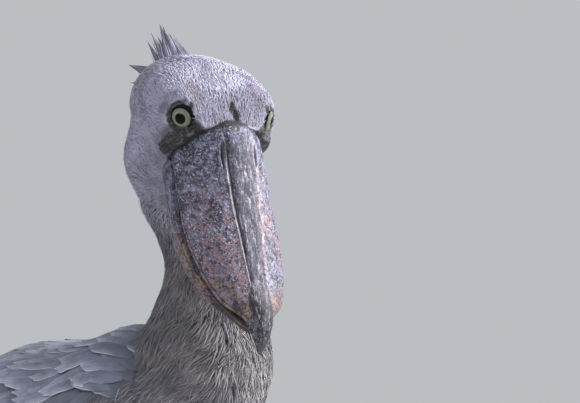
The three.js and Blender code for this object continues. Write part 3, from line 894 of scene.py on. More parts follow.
@dataclass(frozen=True)
class HornFinish(Finish):
    """The bill's horn: slate and dusky pink, mottled, flaked with pale wear and tan along its edges, with
    painted shade in the ridge's grooves, a painted shadow at its root and a painted highlight along the
    far lip.
    """

    name: str = "bill_horn"
    roughness: float = 0.57
    slate: PAINT = (114, 118, 147)
    dusk: PAINT = (46, 44, 59)
    pink: PAINT = (130, 99, 106)
    chalk: PAINT = (194, 192, 212)
    tan: PAINT = (146, 122, 96)
    wear: float = 0.9
    gape: float = 0.8
    tan_width: float = 1.9
    tan_from: tuple[float, float] = (1.24, 1.48)
    dark_from: tuple[float, float] = (1.9, 2.0)

    def paint(self, bench: Bench) -> LOOKS:
        """Lays out the nodes."""
        own = bench.own("Own", "Vector")
        place, _, height = bench.parts(own)
        grain = bench.stretch(bench.stretch(own, (1, 1, 1), (0, 32, 0)), (0.55, 1.1, 1.1))
        patch = bench.noise(grain, 13.0, 5.0, 0.68, 1.0)
        speck = bench.noise(grain, 30.0, 4.0, 0.72, 0.8)
        rim = bench.own("Rim")
        near_rim = bench.span(rim, self.tan_width, 0.3 * self.tan_width)
        edge = bench.times(near_rim, bench.span(place, *self.tan_from))
        flakes = bench.flecks(grain, 66.0, 0.56, 0.61)
        ground = self.ground(bench, own, grain, patch, edge)
        pitted = bench.over(ground, bench.span(speck, 0.52, 0.58), (30, 27, 38), 0.85)
        dim = bench.span(edge, 0.0, 1.0, 1.0, 0.3)
        patina = bench.times(bench.times(bench.flecks(grain, 26.0, 0.55, 0.62), 0.3 * self.wear), dim)
        rubbed = bench.over(pitted, patina, (140, 140, 164))
        fewer = bench.times(dim, bench.span(place, 0.8, 1.4, 1.0, 0.55))
        worn = bench.over(rubbed, bench.times(bench.times(flakes, self.wear), fewer), self.chalk)
        far_end = bench.times(bench.span(place, *self.dark_from), bench.span(patch, 0.3, 0.7, 0.95, 0.5))
        ended = bench.over(worn, far_end, (46, 44, 46))
        wander = bench.times(bench.minus(bench.noise(own, 9.0, 3.0), 0.5), 0.12)
        off = bench.plus(bench.own("Off"), wander)
        top = bench.own("Top")
        near_lip = bench.times(bench.line(off, -1.05, 0.05), bench.span(speck, 0.66, 0.42, 0.35, 1.0))
        near_lip = bench.times(near_lip, bench.span(place, 0.36, 0.6, 0.1, 1.0))
        # Painted highlight: a broad pale band along the far lip of the ridge.
        far_lip_highlight = bench.times(bench.line(off, 1.1, 0.34), bench.span(speck, 0.62, 0.4, 0.1, 0.8))
        lips_and_highlight = bench.times(bench.larger(near_lip, far_lip_highlight), top)
        far_cut = bench.times(bench.line(off, 0.78, 0.1), 0.45)
        # Painted shade in the grooves beside the ridge.
        groove_shade = bench.times(bench.larger(bench.line(off, -0.9, 0.13), far_cut), top)
        gape = bench.times(bench.line(rim, 0.02, 0.07), self.gape)
        gape = bench.larger(gape, bench.line(rim, 0.36, 0.05))
        # Dark lines: the painted shade of the grooves, the gape between the halves and the nostril slits.
        cuts_and_groove_shade = bench.larger(bench.larger(groove_shade, gape), bench.own("Slit"))
        between = bench.times(bench.line(off, -0.1, 1.25), top)
        streaks = bench.noise(bench.stretch(own, (0.3, 2.2, 1.0)), 26.0, 5.0, 0.7, 0.3)
        dull = bench.times(between, bench.span(streaks, 0.46, 0.56, 0.35, 1.0))
        pale = bench.times(between, bench.span(streaks, 0.42, 0.37, 0.0, 0.7))
        banded = bench.over(bench.over(ended, dull, (40, 40, 60)), pale, self.chalk)
        cut = bench.over(banded, cuts_and_groove_shade, (22, 19, 24), 0.92)
        # Painted shadow where the horn meets the skin at its root, shorter low down at its corners.
        corner = bench.larger(bench.minus(bench.times(height, -0.25), 0.03), 0.0)
        root_shadowed = bench.over(cut, bench.span(bench.plus(place, corner), 0.205, 0.168), (34, 31, 34), 0.85)
        ridged = bench.bump(bench.minus(lips_and_highlight, cuts_and_groove_shade), 0.6, 0.0012)
        coarse = bench.bump(patch, 0.35, 0.0012, ridged)
        return {
            # Pale lips over the ridge: the near one a fine pale line, the far one a painted highlight.
            "Base Color": bench.over(root_shadowed, lips_and_highlight, (200, 188, 196), 0.85),
            "Roughness": bench.span(speck, 0.3, 0.7, self.roughness - 0.12, self.roughness + 0.16),
            "Normal": bench.bump(bench.plus(speck, flakes), 0.5, 0.0006, coarse),
        }

    def ground(
        self, bench: Bench, own: NodeSocket, grain: NodeSocket, patch: NodeSocket, edge: NodeSocket
    ) -> NodeSocket:
        """Lays out the mottled ground.

        Args:
            bench: The material's bench.
            own: The horn's own places.
            grain: The same, turned and stretched along the mottling.
            patch: The pattern of the dark patches.
            edge: One along the tan edge.

        Returns:
            The colour.
        """
        place = bench.parts(own)[0]
        base = bench.blend(patch, 0.44, 0.56, self.slate, self.dusk)
        clouds = bench.span(bench.noise(own, 3.4, 3.0, 0.5, 0.4), 0.34, 0.54)
        blush = bench.times(bench.span(place, 0.25, 1.0), clouds)
        rosy = bench.times(blush, bench.span(bench.noise(grain, 16.0, 5.0, 0.66, 0.8), 0.4, 0.56))
        flushed = bench.over(base, rosy, self.pink, 0.9)
        broken = bench.span(bench.noise(grain, 15.0, 4.0, 0.65), 0.42, 0.6)
        tanned = bench.over(flushed, bench.times(edge, broken), self.tan)
        bars = bench.noise(bench.stretch(own, (3.2, 1.0, 0.7)), 14.0, 3.0, 0.6)
        return bench.over(tanned, bench.times(edge, bench.span(bars, 0.5, 0.66, 0.0, 0.7)), (62, 50, 48))


@dataclass(frozen=True)
class NailFinish(Finish):
    """The nail: dark grey horn, streaked and flecked pale, and tan at its tip."""

    name: str = "bill_nail"
    roughness: float = 0.6

    def paint(self, bench: Bench) -> LOOKS:
        """Lays out the nodes."""
        own = bench.own("Own", "Vector")
        grain = bench.stretch(own, (0.35, 1.8, 0.6))
        patch = bench.noise(grain, 18.0, 5.0, 0.68, 0.6)
        flakes = bench.flecks(grain, 60.0, 0.54, 0.62)
        base = bench.blend(patch, 0.42, 0.56, (86, 85, 98), (28, 26, 33))
        worn = bench.over(base, flakes, (168, 166, 180), 0.7)
        tip = bench.over(worn, bench.own("Tip"), (74, 66, 60), 0.75)
        off = bench.own("Off")
        seams = bench.larger(bench.line(off, -0.62, 0.09), bench.line(off, 0.66, 0.08))
        near_root = bench.span(bench.parts(own)[0], 1.46, 1.62, 0.0, 0.85)
        cut = bench.over(tip, bench.times(seams, near_root), (30, 28, 33))
        return {"Base Color": cut, "Normal": bench.bump(bench.plus(patch, flakes), 0.5, 0.0008)}


@dataclass(frozen=True)
class EyeFinish(Finish):
    """A wet eye: black pupil, pale yellow-green iris darkened at its top by painted shade from the lid,
    and a dark outer ring.
    """

    name: str = "eye"
    roughness: float = 0.08
    specular: float = 0.12

    def paint(self, bench: Bench) -> LOOKS:
        """Lays out the nodes."""
        across, up, _ = bench.parts(bench.own("Own", "Vector"))
        squares = (bench.math("POWER", value, 2.0) for value in (across, up))
        far = bench.math("SQRT", bench.plus(*squares))
        turn = bench.times(bench.math("ARCTAN2", up, across), 6.0)
        spoke = bench.node("ShaderNodeCombineXYZ", {0: turn, 1: bench.times(far, 3.0)}).outputs[0]
        spokes = bench.noise(spoke, 1.6, 4.0, 0.6)
        iris = bench.blend(spokes, 0.35, 0.65, (143, 148, 126), (110, 115, 102))
        # Painted shade from the upper lid over the top of the iris.
        lid_shaded = bench.over(iris, bench.span(up, 0.1, 0.9, 0.0, 0.6), (88, 94, 84))
        shaded = bench.over(lid_shaded, bench.span(far, 0.6, 0.8, 0.0, 0.5), (104, 110, 92))
        ringed = bench.over(shaded, bench.span(far, 0.79, 0.83), (12, 11, 11))
        return {"Base Color": bench.over(ringed, bench.span(far, 0.47, 0.45), (5, 5, 6))}


@dataclass(frozen=True)
class LidFinish(Finish):
    """Bare lids: dark grey, nearly black at the margin, with fine wrinkles."""

    name: str = "lid"
    roughness: float = 0.7
    specular: float = 0.2

    def paint(self, bench: Bench) -> LOOKS:
        """Lays out the nodes."""
        place = bench.here()
        patch = bench.noise(place, 260.0, 4.0, 0.6)
        skin = bench.blend(patch, 0.35, 0.65, (104, 102, 112), (72, 70, 78))
        whole = bench.over(skin, bench.own("Margin"), (17, 16, 17))
        wrinkles = bench.noise(place, 1100.0, 3.0, 0.6)
        return {"Base Color": whole, "Normal": bench.bump(wrinkles, 0.5, 0.0004)}


@dataclass(frozen=True)
class LegFinish(Finish):
    """Scaly leg skin: dark grey scutes with paler worn faces."""

    name: str = "leg_skin"
    roughness: float = 0.6

    def paint(self, bench: Bench) -> LOOKS:
        """Lays out the nodes."""
        place = bench.here()
        edge = bench.cells(bench.stretch(place, (1.0, 1.0, 0.72)), 210.0, "DISTANCE_TO_EDGE", 0.75)
        scale = bench.blend(bench.noise(place, 70.0, 4.0, 0.6), 0.35, 0.65, (86, 86, 90), (58, 57, 60))
        dusted = bench.over(scale, bench.flecks(place, 300.0, 0.55, 0.68), (128, 126, 126), 0.4)
        whole = bench.over(dusted, bench.span(edge, 0.09, 0.02), (30, 29, 30), 0.8)
        relief = bench.bump(bench.span(edge, 0.0, 0.16), 0.7, 0.0008)
        grain = bench.noise(place, 900.0, 3.0)
        return {"Base Color": whole, "Normal": bench.bump(grain, 0.25, 0.0003, relief)}


@dataclass(frozen=True)
class ClawFinish(Finish):
    """Claws: nearly black horn, streaked along its length."""

    name: str = "claw"
    roughness: float = 0.42

    def paint(self, bench: Bench) -> LOOKS:
        """Lays out the nodes."""
        streak = bench.noise(bench.stretch(bench.here(), (3.0, 0.7, 3.0)), 260.0, 4.0, 0.6)
        horn = bench.blend(streak, 0.35, 0.68, (40, 37, 36), (74, 67, 60))
        return {"Base Color": horn, "Normal": bench.bump(streak, 0.3, 0.0004)}


@dataclass(frozen=True)
class FloorFinish(Finish):
    """The studio floor."""

    name: str = "studio_floor"
    roughness: float = 0.9

    def paint(self, bench: Bench) -> LOOKS:
        """Lays out the nodes."""
        mist = bench.noise(bench.here(), 3.0, 2.0)
        return {"Base Color": bench.blend(mist, 0.3, 0.7, (206, 205, 201), (198, 197, 194))}


# Sub-assemblies


@dataclass
class Studio:
    """A pale floor, soft lights and the camera at the photograph's angle."""

    azimuth: float = 55.0
    distance: float = 6.0
    across: float = 0.464
    eye: tuple[float, float, float] = (-0.045, -0.307235, 1.0)
    aim_right: float = 0.0532
    aim_down: float = 0.0652
    floor: float = 9.0
    floor_height: float = -0.0005

    def axes(self) -> tuple[Vector, Vector]:
        """The picture's right and the way to the camera."""
        angle = math.radians(self.azimuth)
        cos, sin = math.cos(angle), math.sin(angle)
        return Vector((cos, -sin, 0)), Vector((-sin, -cos, 0))

    def camera(self) -> None:
        """Puts the camera in its place."""
        right, back = self.axes()
        aim = Vector(self.eye) + self.aim_right * right - Vector((0, 0, self.aim_down))
        data = bpy.data.cameras.new("camera")
        data.lens = 36 * self.distance / self.across
        data.clip_end = 60
        camera = bpy.data.objects.new("camera", data)
        camera.location = aim + self.distance * back
        camera.rotation_euler = (aim - camera.location).to_track_quat("-Z", "Y").to_euler()
        bpy.context.scene.collection.objects.link(camera)
        bpy.context.scene.camera = camera

    def light(
        self, name: str, way: POINT, far: float, size: float, power: float, tint: POINT
    ) -> None:
        """Adds a soft panel of light.

        Args:
            name: Its name.
            way: Where it stands from the head: right, towards the camera and up.
            far: How far away.
            size: Its width in metres.
            power: Its strength in watts.
            tint: Its colour.
        """
        axes = (*self.axes(), Vector((0, 0, 1)))
        head = Vector(self.eye)
        reach = sum((share * axis for share, axis in zip(way, axes)), Vector((0, 0, 0)))
        place = head + far * reach.normalized()
        data = bpy.data.lights.new(name, "AREA")
        data.shape = "DISK"
        data.size = size
        data.energy = power
        data.color = tint
        lamp = bpy.data.objects.new(name, data)
        lamp.location = place
        lamp.rotation_euler = (head - place).to_track_quat("-Z", "Y").to_euler()
        bpy.context.scene.collection.objects.link(lamp)

    def build(self) -> None:
        """Sets up the whole studio."""
        self.camera()
        self.light("key", (0.93, -0.02, 0.52), 3.2, 1.3, 244, (1.0, 0.99, 0.98))
        self.light("fill", (-0.7, 0.9, 0.35), 4.0, 3.0, 36, (0.93, 0.96, 1.0))
        world = bpy.data.worlds.new("studio")
        world.use_nodes = True
        shade = world.node_tree.nodes["Background"]
        shade.inputs["Color"].default_value = (0.93, 0.96, 1.0, 1.0)
        shade.inputs["Strength"].default_value = 0.54
        bpy.context.scene.world = world
        view = bpy.context.scene.view_settings
        view.view_transform = "Standard"
        deselect()
        bpy.ops.mesh.primitive_circle_add(
            vertices=96, radius=self.floor, fill_type="NGON", location=(0, 0, self.floor_height)
        )
        ground = bpy.context.object
        ground.name = "floor"
        choose(ground)
        bpy.ops.object.transform_apply(location=True)
        FloorFinish().put_on(ground)
        deselect()


@dataclass
class Eye:
    """One eye, its cornea proud of the ball, with the rings of its lids. Local z is the way it looks."""

    side: Side
    radius: float = 14.0
    opening: float = 9.8
    bulge: float = 0.9
    looks: tuple[float, float, float] = (0.6, 0.72, 0.345)
    middle: tuple[float, float, float] = (-5.5, 30.5, -1.0)

    @property
    def centre(self) -> ARRAY:
        """The middle of the ball, in the head's frame."""
        x, y, z = self.middle
        return np.array([x, y * self.side.value, z])

    @property
    def axes(self) -> ARRAY:
        """The eye's axes in the head's frame, one a column: along the lids, up and out."""
        x, y, z = self.looks
        out = unit(np.array([x, y * self.side.value, z]))
        ahead = flattened(np.array([1.0, 0.0, -0.25]), out)
        up = np.cross(out, ahead)
        if up[2] < 0:
            up = -up
        return np.column_stack([np.cross(up, out), up, out])

    @property
    def rim(self) -> ARRAY:
        """The middle of the lids' opening, in the head's frame."""
        return self.centre + self.axes[:, 2] * math.sqrt(self.radius**2 - self.opening**2)

    def away(self, local: ARRAY) -> ARRAY:
        """How far places lie from the lids' middle, counted longer where feathers come close."""
        from_rim = local - self.rim
        return np.linalg.norm(from_rim, axis=1) + 3.0 * step(from_rim @ self.axes[:, 1], 2, 9)

    def place(self, local: ARRAY) -> ARRAY:
        """Takes places in the eye's frame into the bird's."""
        return HEAD.out(local @ self.axes.T + self.centre)

    def ball(self) -> Object:
        """Makes the eyeball, with its pole where the eye looks."""
        gaze = np.array([0.05, -0.07, 1.0])

        def shape(turn: ARRAY, share: ARRAY) -> ARRAY:
            """Places each point of the ball."""
            radius = self.radius + self.bulge * bell(share * math.pi, 0.5)
            return self.place(on_ball(turn, share) * radius[:, None])

        piece = moulded(f"eyeball_{self.side.word}", 96, 72, shape)
        local = (HEAD.into(places_of(piece)) - self.centre) @ self.axes
        put_attribute(piece, "Own", (local - gaze * local[:, 2:3] * [1, 1, 0]) / 10)
        EyeFinish(f"iris_{self.side.word}").put_on(piece)
        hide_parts(f"eye_{self.side.word}")
        return piece

    def ring(
        self, radius: float, level: float, tube: tuple[float, float], lean: float, dark: float
    ) -> Object:
        """Makes one fold round the eye.

        Args:
            radius: Its radius.
            level: Its height along the way the eye looks.
            tube: How wide and how high the fold is, each from its middle.
            lean: How much higher it is at its inner edge.
            dark: 1 where it is as dark as the margin.

        Returns:
            The fold.
        """
        deselect()
        bpy.ops.mesh.primitive_torus_add(
            major_radius=radius, minor_radius=1, major_segments=112, minor_segments=18
        )
        piece = bpy.context.object
        local = points_of(piece)
        turn = np.arctan2(local[:, 1], local[:, 0])
        out = np.hypot(local[:, 0], local[:, 1]) - radius
        high = local[:, 2]
        upper = step(np.sin(turn), -0.2, 0.9) * (dark - 1)
        wave = 0.25 * np.sin(5 * turn + radius) + 0.16 * np.sin(11 * turn + 2 * radius)
        wide = tube[0] * (1 + 0.35 * upper + 0.12 * wave)
        far = radius + 1.5 * tube[0] * upper + wide * out
        lift = level + tube[1] * high * (1 + 0.4 * upper) - lean * out * tube[0] + 0.35 * upper * tube[1]
        shaped = np.column_stack([0.94 * far * np.cos(turn), 1.03 * far * np.sin(turn), lift])
        set_places(piece, self.place(shaped))
        finish_mesh(piece, f"fold_{self.side.word}")
        put_attribute(piece, "Margin", np.full(len(shaped), dark))
        return piece

    def lids(self) -> Object:
        """Makes the lids: a dark margin and a soft fold outside it."""
        folds = [
            self.ring(9.6, 10.25, (1.2, 0.9), 0.3, 1.0),
            self.ring(11.9, 9.3, (1.5, 1.2), 0.4, 0.15),
        ]
        piece = joined(folds, f"lids_{self.side.word}")
        LidFinish(f"lid_{self.side.word}").put_on(piece)
        return piece

    def build(self) -> list[Object]:
        """Makes the eye and its lids."""
        return [self.ball(), self.lids()]


EYES = {side: Eye(side) for side in Side}


@dataclass
class Bill:
    """The bill: two deep halves of horn and the hooked nail that ends the upper one's flat ridge."""

    upper_rows: ROWS = (
        (-12, 33, -34, -2, 12),
        (4, 36, -33, 7, 12.5),
        (15, 36.5, -34, 13.2, 13),
        (24, 36.5, -35.5, 13.6, 13),
        (50, 37.5, -42, 4.2, 12.5),
        (80, 38.5, -46, -6.5, 11.5),
        (118, 36, -46.5, -18, 9),
        (140, 31, -46.5, -24.5, 7.5),
        (156, 24, -45, -29, 6.5),
        (168, 13.5, -43.5, -33, 6),
        (176, 8.5, -45, -37.5, 5),
    )
    lower_rows: ROWS = (
        (-14, 34, -38, 2.6, 39),
        (20, 36.5, -40, 1.8, 41),
        (50, 40, -46.5, 1.6, 39),
        (80, 40.5, -51, 1.6, 34),
        (118, 37, -51.5, 1.6, 25.5),
        (142, 29.0, -51, 1.6, 16.5),
        (160, 18.5, -50, 1.6, 10),
        (178, 8, -49, 2, 6),
    )
    hook: ROWS = (
        (126, 0.3, -31.0, 7.6),
        (138, 0.3, -33.4, 9.4),
        (150, -0.4, -36.2, 12.2),
        (161, -0.4, -39.6, 13.0),
        (172, 1.2, -43.8, 10.9),
        (180, 3.3, -50.5, 7.0),
        (184.5, 4.5, -58.5, 4.1),
        (186.0, 5.4, -66.0, 0.9),
    )
    nostril_place: float = 41.0
    nostril_side: float = 14.4

    def upper(self) -> Object:
        """Makes the upper half."""
        at = Profile(self.upper_rows)
        start, end = self.upper_rows[0][0], self.upper_rows[-1][0]

        def shape(turn: ARRAY, share: ARRAY) -> ARRAY:
            """Places each point of the upper half."""
            place = start + (end - start) * np.sin(math.pi * share / 2) ** 0.9
            half_width, edge, ridge, band = at(place).T
            opened = dome(place - start, 6) * dome(end - place, 6)
            side, height = oval(turn, half_width * opened, (ridge - edge) * opened, 2.2 * opened, 0.96)
            level = edge + height
            top = step(np.sin(turn), 0.2, 0.45)
            off = np.abs(side) / band
            raised = 1.5 * np.exp(-(off**6))
            lip = 0.7 * bell(np.abs(side) - 1.04 * band, 0.9)
            lip = lip * step(place, 34, 60) * step(-place, -160, -140)
            groove = 1.2 * bell(np.abs(side) - 0.86 * band, 1.1)
            groove = groove * step(place, 22, 40) * step(-place, -158, -140)
            crown = -0.5 * bell(side, 0.4 * band[0]) * step(place, 30, 60)
            spot = np.column_stack([place, side, level])
            lumps = 0.5 * ripple(spot, 26, 5) + 0.28 * ripple(spot, 9, 6)
            slit = self.to_nostril(place, side, 8.5, 1.3)
            nose = -2.2 * np.exp(-(slit**1.5)) + 0.9 * bell(np.sqrt(slit) - 1.6, 0.5)
            lift = (raised + lip - groove + crown + nose) * top * opened
            swell = 1 + lumps / 42 * opened
            rolled = 0.9 * bell(np.sin(turn) - 0.05, 0.12) * step(place, 0, 30)
            side = side * (swell + rolled / 40)
            return HEAD.out(np.column_stack([place, side, level + lift + 0.6 * lumps * top]))

        piece = moulded("upper_bill", 240, 190, shape)
        self.mark(piece, at)
        return piece

    def to_nostril(self, place: ARRAY, side: ARRAY, long: float, wide: float) -> ARRAY:
        """How far places lie from the nearer nostril, squared: one at the edge of a slit that size."""
        ahead = (place - self.nostril_place) / long
        aside = (np.abs(side) - self.nostril_side) / wide
        return ahead**2 + aside**2

    def mark(self, piece: Object, at: Profile) -> None:
        """Stores the horn's own places and how far each is from its edge and its ridge."""
        own = HEAD.into(places_of(piece))
        place, side, height = own.T
        _, edge, _, band = at(place).T
        put_attribute(piece, "Own", own / 100)
        put_attribute(piece, "Rim", np.clip((height - edge) / 10, 0, 5))
        put_attribute(piece, "Off", np.clip(side / band, -3, 3))
        ridge = step(height - edge, 12, 20) * step(place, 18, 40) * step(-place, -154, -140)
        put_attribute(piece, "Top", ridge)
        slit = self.to_nostril(place, side, 8.2, 1.4)
        put_attribute(piece, "Slit", np.exp(-(slit**2)) * (height > edge + 10))

    def lower(self) -> Object:
        """Makes the lower half."""
        piece = moulded("lower_bill", 160, 120, body_along(self.lower_rows, (6, 8), 0.82, HEAD.out))
        own = HEAD.into(places_of(piece))
        edge = Profile(self.lower_rows)(own[:, 0])[:, 1]
        lumps = 0.4 * ripple(own, 22, 8) + 0.2 * ripple(own, 8, 9)
        shaped = own.copy()
        shaped[:, 1] *= 1 + lumps / 60
        set_places(piece, HEAD.out(shaped))
        put_attribute(piece, "Own", own / 100)
        put_attribute(piece, "Rim", np.clip((edge + 1.6 - own[:, 2]) / 10, 0, 5))
        return piece

    def nail(self) -> Object:
        """Makes the hooked nail at the end of the ridge."""
        hooked = limb(self.hook, (10, 2), 0.84)
        piece = moulded("bill_nail", 72, 90, lambda turn, share: HEAD.out(hooked(turn, share)))
        own = HEAD.into(places_of(piece))
        bumps = 0.25 * ripple(own * [0.4, 1, 1], 5, 12) + 0.12 * ripple(own, 3, 13)
        set_places(piece, HEAD.out(own + bumps[:, None] * unit(own - [165, 3, -46])))
        place, side, _ = own.T
        middle = Profile([row[:2] + row[3:] for row in self.hook])(place)
        side = (side - middle[:, 0]) / middle[:, 1]
        put_attribute(piece, "Own", own / 100)
        put_attribute(piece, "Tip", step(-own[:, 2], 50, 64))
        put_attribute(piece, "Off", side)
        return piece

    def build(self) -> list[Object]:
        """Makes and dresses the bill."""
        upper, lower, nail = self.upper(), self.lower(), self.nail()
        HornFinish().put_on(upper)
        plainer = HornFinish(
            "lower_horn", wear=0.6, gape=0.0, tan_width=2.2, tan_from=(0.5, 1.0), dark_from=(1.3, 1.5)
        )
        plainer.put_on(lower)
        NailFinish().put_on(nail)
        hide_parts("bill_upper")
        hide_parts("bill_lower")
        return [upper, lower, nail]


@dataclass
class Body:
    """The skin of the head, neck, torso and thighs in one piece, inside the plumage by its depth."""

    skull: ROWS = (
        (-88, 38, -36, 32, 34),
        (-68, 47, -31, 28, 42),
        (-44, 52, -23, 33, 52),
        (-18, 53, -14, 33, 58),
        (2, 48.5, -17, 34, 56),
        (14, 43.5, -23.5, 38, 48),
        (21, 41, -27.5, 41.2, 43),
    )
    neck: ROWS = (
        (-6, -166, 1044, 29),
        (-11, -171, 1016, 40),
        (-13, -173, 995, 44),
        (-13, -174, 975, 50),
        (-7, -173, 952, 50),
        (3.4, -177.6, 924, 46.2),
        (9, -185.2, 892, 44.8),
        (7.4, -187.4, 868, 46.6),
        (3.6, -186, 842, 51),
        (3, -178, 806, 62),
        (1, -150, 742, 81),
    )
    torso: ROWS = (
        (-232, 70, 716, 66, 92),
        (-190, 88, 706, 98, 128),
        (-135, 106, 690, 142, 154),
        (-60, 116, 662, 149, 160),
        (10, 118, 646, 142, 150),
        (80, 108, 634, 126, 126),
        (150, 88, 624, 100, 92),
        (215, 62, 613, 68, 60),
        (250, 46, 602, 46, 40),
        (282, 34, 590, 24, 22),
    )
    voxel: float = 3.2
    head_depth: float = 0.4
    neck_depth: float = 8.0
    chest_depth: float = 5.6
    body_depth: float = 10.0
    fold_pitch: float = 3.6
    fine_within: float = 44.0
    hollow: float = 18.5
    hollow_out: float = 15.5
    socket: float = 11.5

    @staticmethod
    def egg(name: str, at: POINT, half: POINT, turn: POINT) -> Object:
        """Makes an egg in the head's frame, turned by degrees about z, then y, then x."""
        spin = turned("Z", turn[2]) @ turned("Y", turn[1]) @ turned("X", turn[0])

        def shape(around: ARRAY, share: ARRAY) -> ARRAY:
            """Places each point of the egg."""
            return HEAD.out((on_ball(around, share) * np.array(half)) @ spin.T + np.array(at))

        return moulded(name, 40, 28, shape)

    @staticmethod
    def thigh(side: Side) -> Object:
        """Makes a thigh."""
        ahead = STRIDE[side]
        s = side.value
        points = (
            (s * 54, -38 - ahead, 580, 50),
            (s * 58, -34 - ahead, 520, 50),
            (s * 61, -18 - ahead, 440, 37),
            (s * LEG_SIDE, 1 - ahead, 368, 21),
            (s * LEG_SIDE, 7 - ahead, 349, 11),
        )
        return moulded(f"thigh_core_{side.word}", 40, 40, limb(points, (30, 6)))

    @staticmethod
    def face(local: ARRAY) -> ARRAY:
        """Takes the skull into the bird's frame with its face drawn back beside the bill."""
        back = drawn_back(local) * step(local[:, 0], -14, 10)
        return HEAD.out(local - back[:, None] * [1, 0, 0])

    def depth(self, points: ARRAY) -> ARRAY:
        """How far the skin lies inside the plumage at each place."""
        local = HEAD.into(points)
        head = step(points[:, 2], 925, 975)
        thigh = step(-points[:, 2], -520, -400)
        front = step(-points[:, 1], 80, 120) * step(points[:, 2], 530, 590)
        depth = self.body_depth + (self.chest_depth - self.body_depth) * front
        depth = depth + (self.neck_depth - depth) * step(points[:, 2], 760, 840)
        crown = self.head_depth + 2.4 * step(local[:, 0] + drawn_back(local), -8, 8)
        depth = depth + (crown - depth) * head
        depth = depth + (6.0 - depth) * thigh
        return depth * (1 - 0.9 * self.bare(local))

    @staticmethod
    def bare(local: ARRAY) -> ARRAY:
        """How bare the skin is round the eyes and down to the corners of the bill, from 0 to 1."""
        ragged = local + 1.5 * ripple(local, 6, 71)[:, None] * unit(local - [30, 0, 0])
        shares = []
        for eye in EYES.values():
            mirror = [1, eye.side.value, 1]
            shares.append(step(-eye.away(local), -14.4, -12.6))
            shares.append(strip(ragged * mirror, (11.5, 39.5, -4), (7.0, 45.0, -31), 6.4, 2.0))
            shares.append(strip(local * mirror, (9.5, 34.5, 1), (14.5, 28.5, 6.5), 4.2))
        return np.max(shares, axis=0)

    def build(self) -> Object:
        """Makes the skin and dresses it."""
        torso = body_along(self.torso, (58, 24), 1.0, lambda row: row[:, [1, 0, 2]])
        pieces = [
            moulded("skull_core", 72, 56, body_along(self.skull, (34, 3.5), 0.82, self.face)),
            self.egg("nape_core", (-60, 0, -52), (28, 40, 34), (0, 20, 0)),
            self.egg("brow_core_right", (-3, -31, 10.5), (20, 7, 6), (0, 6, 27)),
            self.egg("brow_core_left", (-3, 31, 10.5), (20, 7, 6), (0, 6, -27)),
            moulded("neck_core", 64, 72, limb(self.neck, (36, 40))),
            moulded("torso_core", 80, 72, torso),
            self.thigh(Side.RIGHT),
            self.thigh(Side.LEFT),
        ]
        piece = fused(pieces, "skin", self.voxel, 5)
        points, normals = places_of(piece), normals_of(piece)
        set_places(piece, points - normals * self.depth(points)[:, None])
        apply_modifier(piece, "SMOOTH", factor=0.5, iterations=3)
        self.refine(piece)
        self.sculpt(piece)
        SkinFinish().put_on(piece)
        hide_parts("head", "neck", "torso", "thigh_right", "thigh_left")
        return piece

    def refine(self, piece: Object) -> None:
        """Divides the faces round the eyes and the bill's root."""
        choose(piece)
        centres = np.empty(len(piece.data.polygons) * 3)
        piece.data.polygons.foreach_get("center", centres)
        local = HEAD.into(to_bird(centres.reshape(-1, 3)))
        middles = [eye.rim + [4, 0, -12] for eye in EYES.values()]
        near = np.min([np.linalg.norm(local - middle, axis=1) for middle in middles], axis=0)
        bpy.ops.object.mode_set(mode="EDIT")
        bpy.ops.mesh.select_mode(type="FACE")
        bpy.ops.mesh.select_all(action="DESELECT")
        bpy.ops.object.mode_set(mode="OBJECT")
        piece.data.polygons.foreach_set("select", near < self.fine_within)
        bpy.ops.object.mode_set(mode="EDIT")
        bpy.ops.mesh.subdivide(number_cuts=2, smoothness=0.6)
        bpy.ops.object.mode_set(mode="OBJECT")
        deselect()

    def sculpt(self, piece: Object) -> None:
        """Presses in the eyes' hollows, raises the creases round them and marks where painted shade
        darkens the creases and the plumage's edge at the bill.
        """
        local = HEAD.into(places_of(piece))
        for eye in EYES.values():
            outside = eye.rim + self.hollow_out * eye.axes[:, 2]
            far = np.linalg.norm(local - outside, axis=1)
            press = np.maximum(self.hollow - far, 0)
            local = local - eye.axes[:, 2] * (press * 0.9)[:, None]
            behind = local - eye.centre
            deep = np.linalg.norm(behind, axis=1)
            local = local + unit(behind) * np.clip(self.socket - deep, 0, 3)[:, None]
        x, y, z = local.T
        back = 0.3 * z - x
        bare = self.bare(local)
        wander = 1.2 * ripple(local, 16, 31)
        crease = np.cos(2 * math.pi * (back + wander) / self.fold_pitch)
        side_way = np.column_stack([np.zeros(len(x)), np.sign(y), np.zeros(len(x))])
        local = local + side_way * (0.75 * crease * bare)[:, None]
        set_places(piece, HEAD.out(local))
        ahead = x + drawn_back(np.column_stack([x, y, z]))
        on_face = (np.abs(y) < 50) * (z > -62)
        put_attribute(piece, "Bare", np.maximum(bare, step(ahead, 14.6, 16.0) * on_face))
        # Where painted shade goes: the hollows of the folds and a line along the plumage's edge at the
        # bill.
        line = step(ahead, 15.2, 16.4) * on_face
        put_attribute(piece, "Crease", np.maximum(step(-crease, 0.35, 0.95) * bare, line))


@dataclass(frozen=True)
class Plume:
    """One kind of tuft: its size, how far it stands off, how it strays and how many grow on 1 mm2."""

    length: float
    half_width: float
    rise: float
    thick: float
    rings: int
    stray: float
    per_area: float


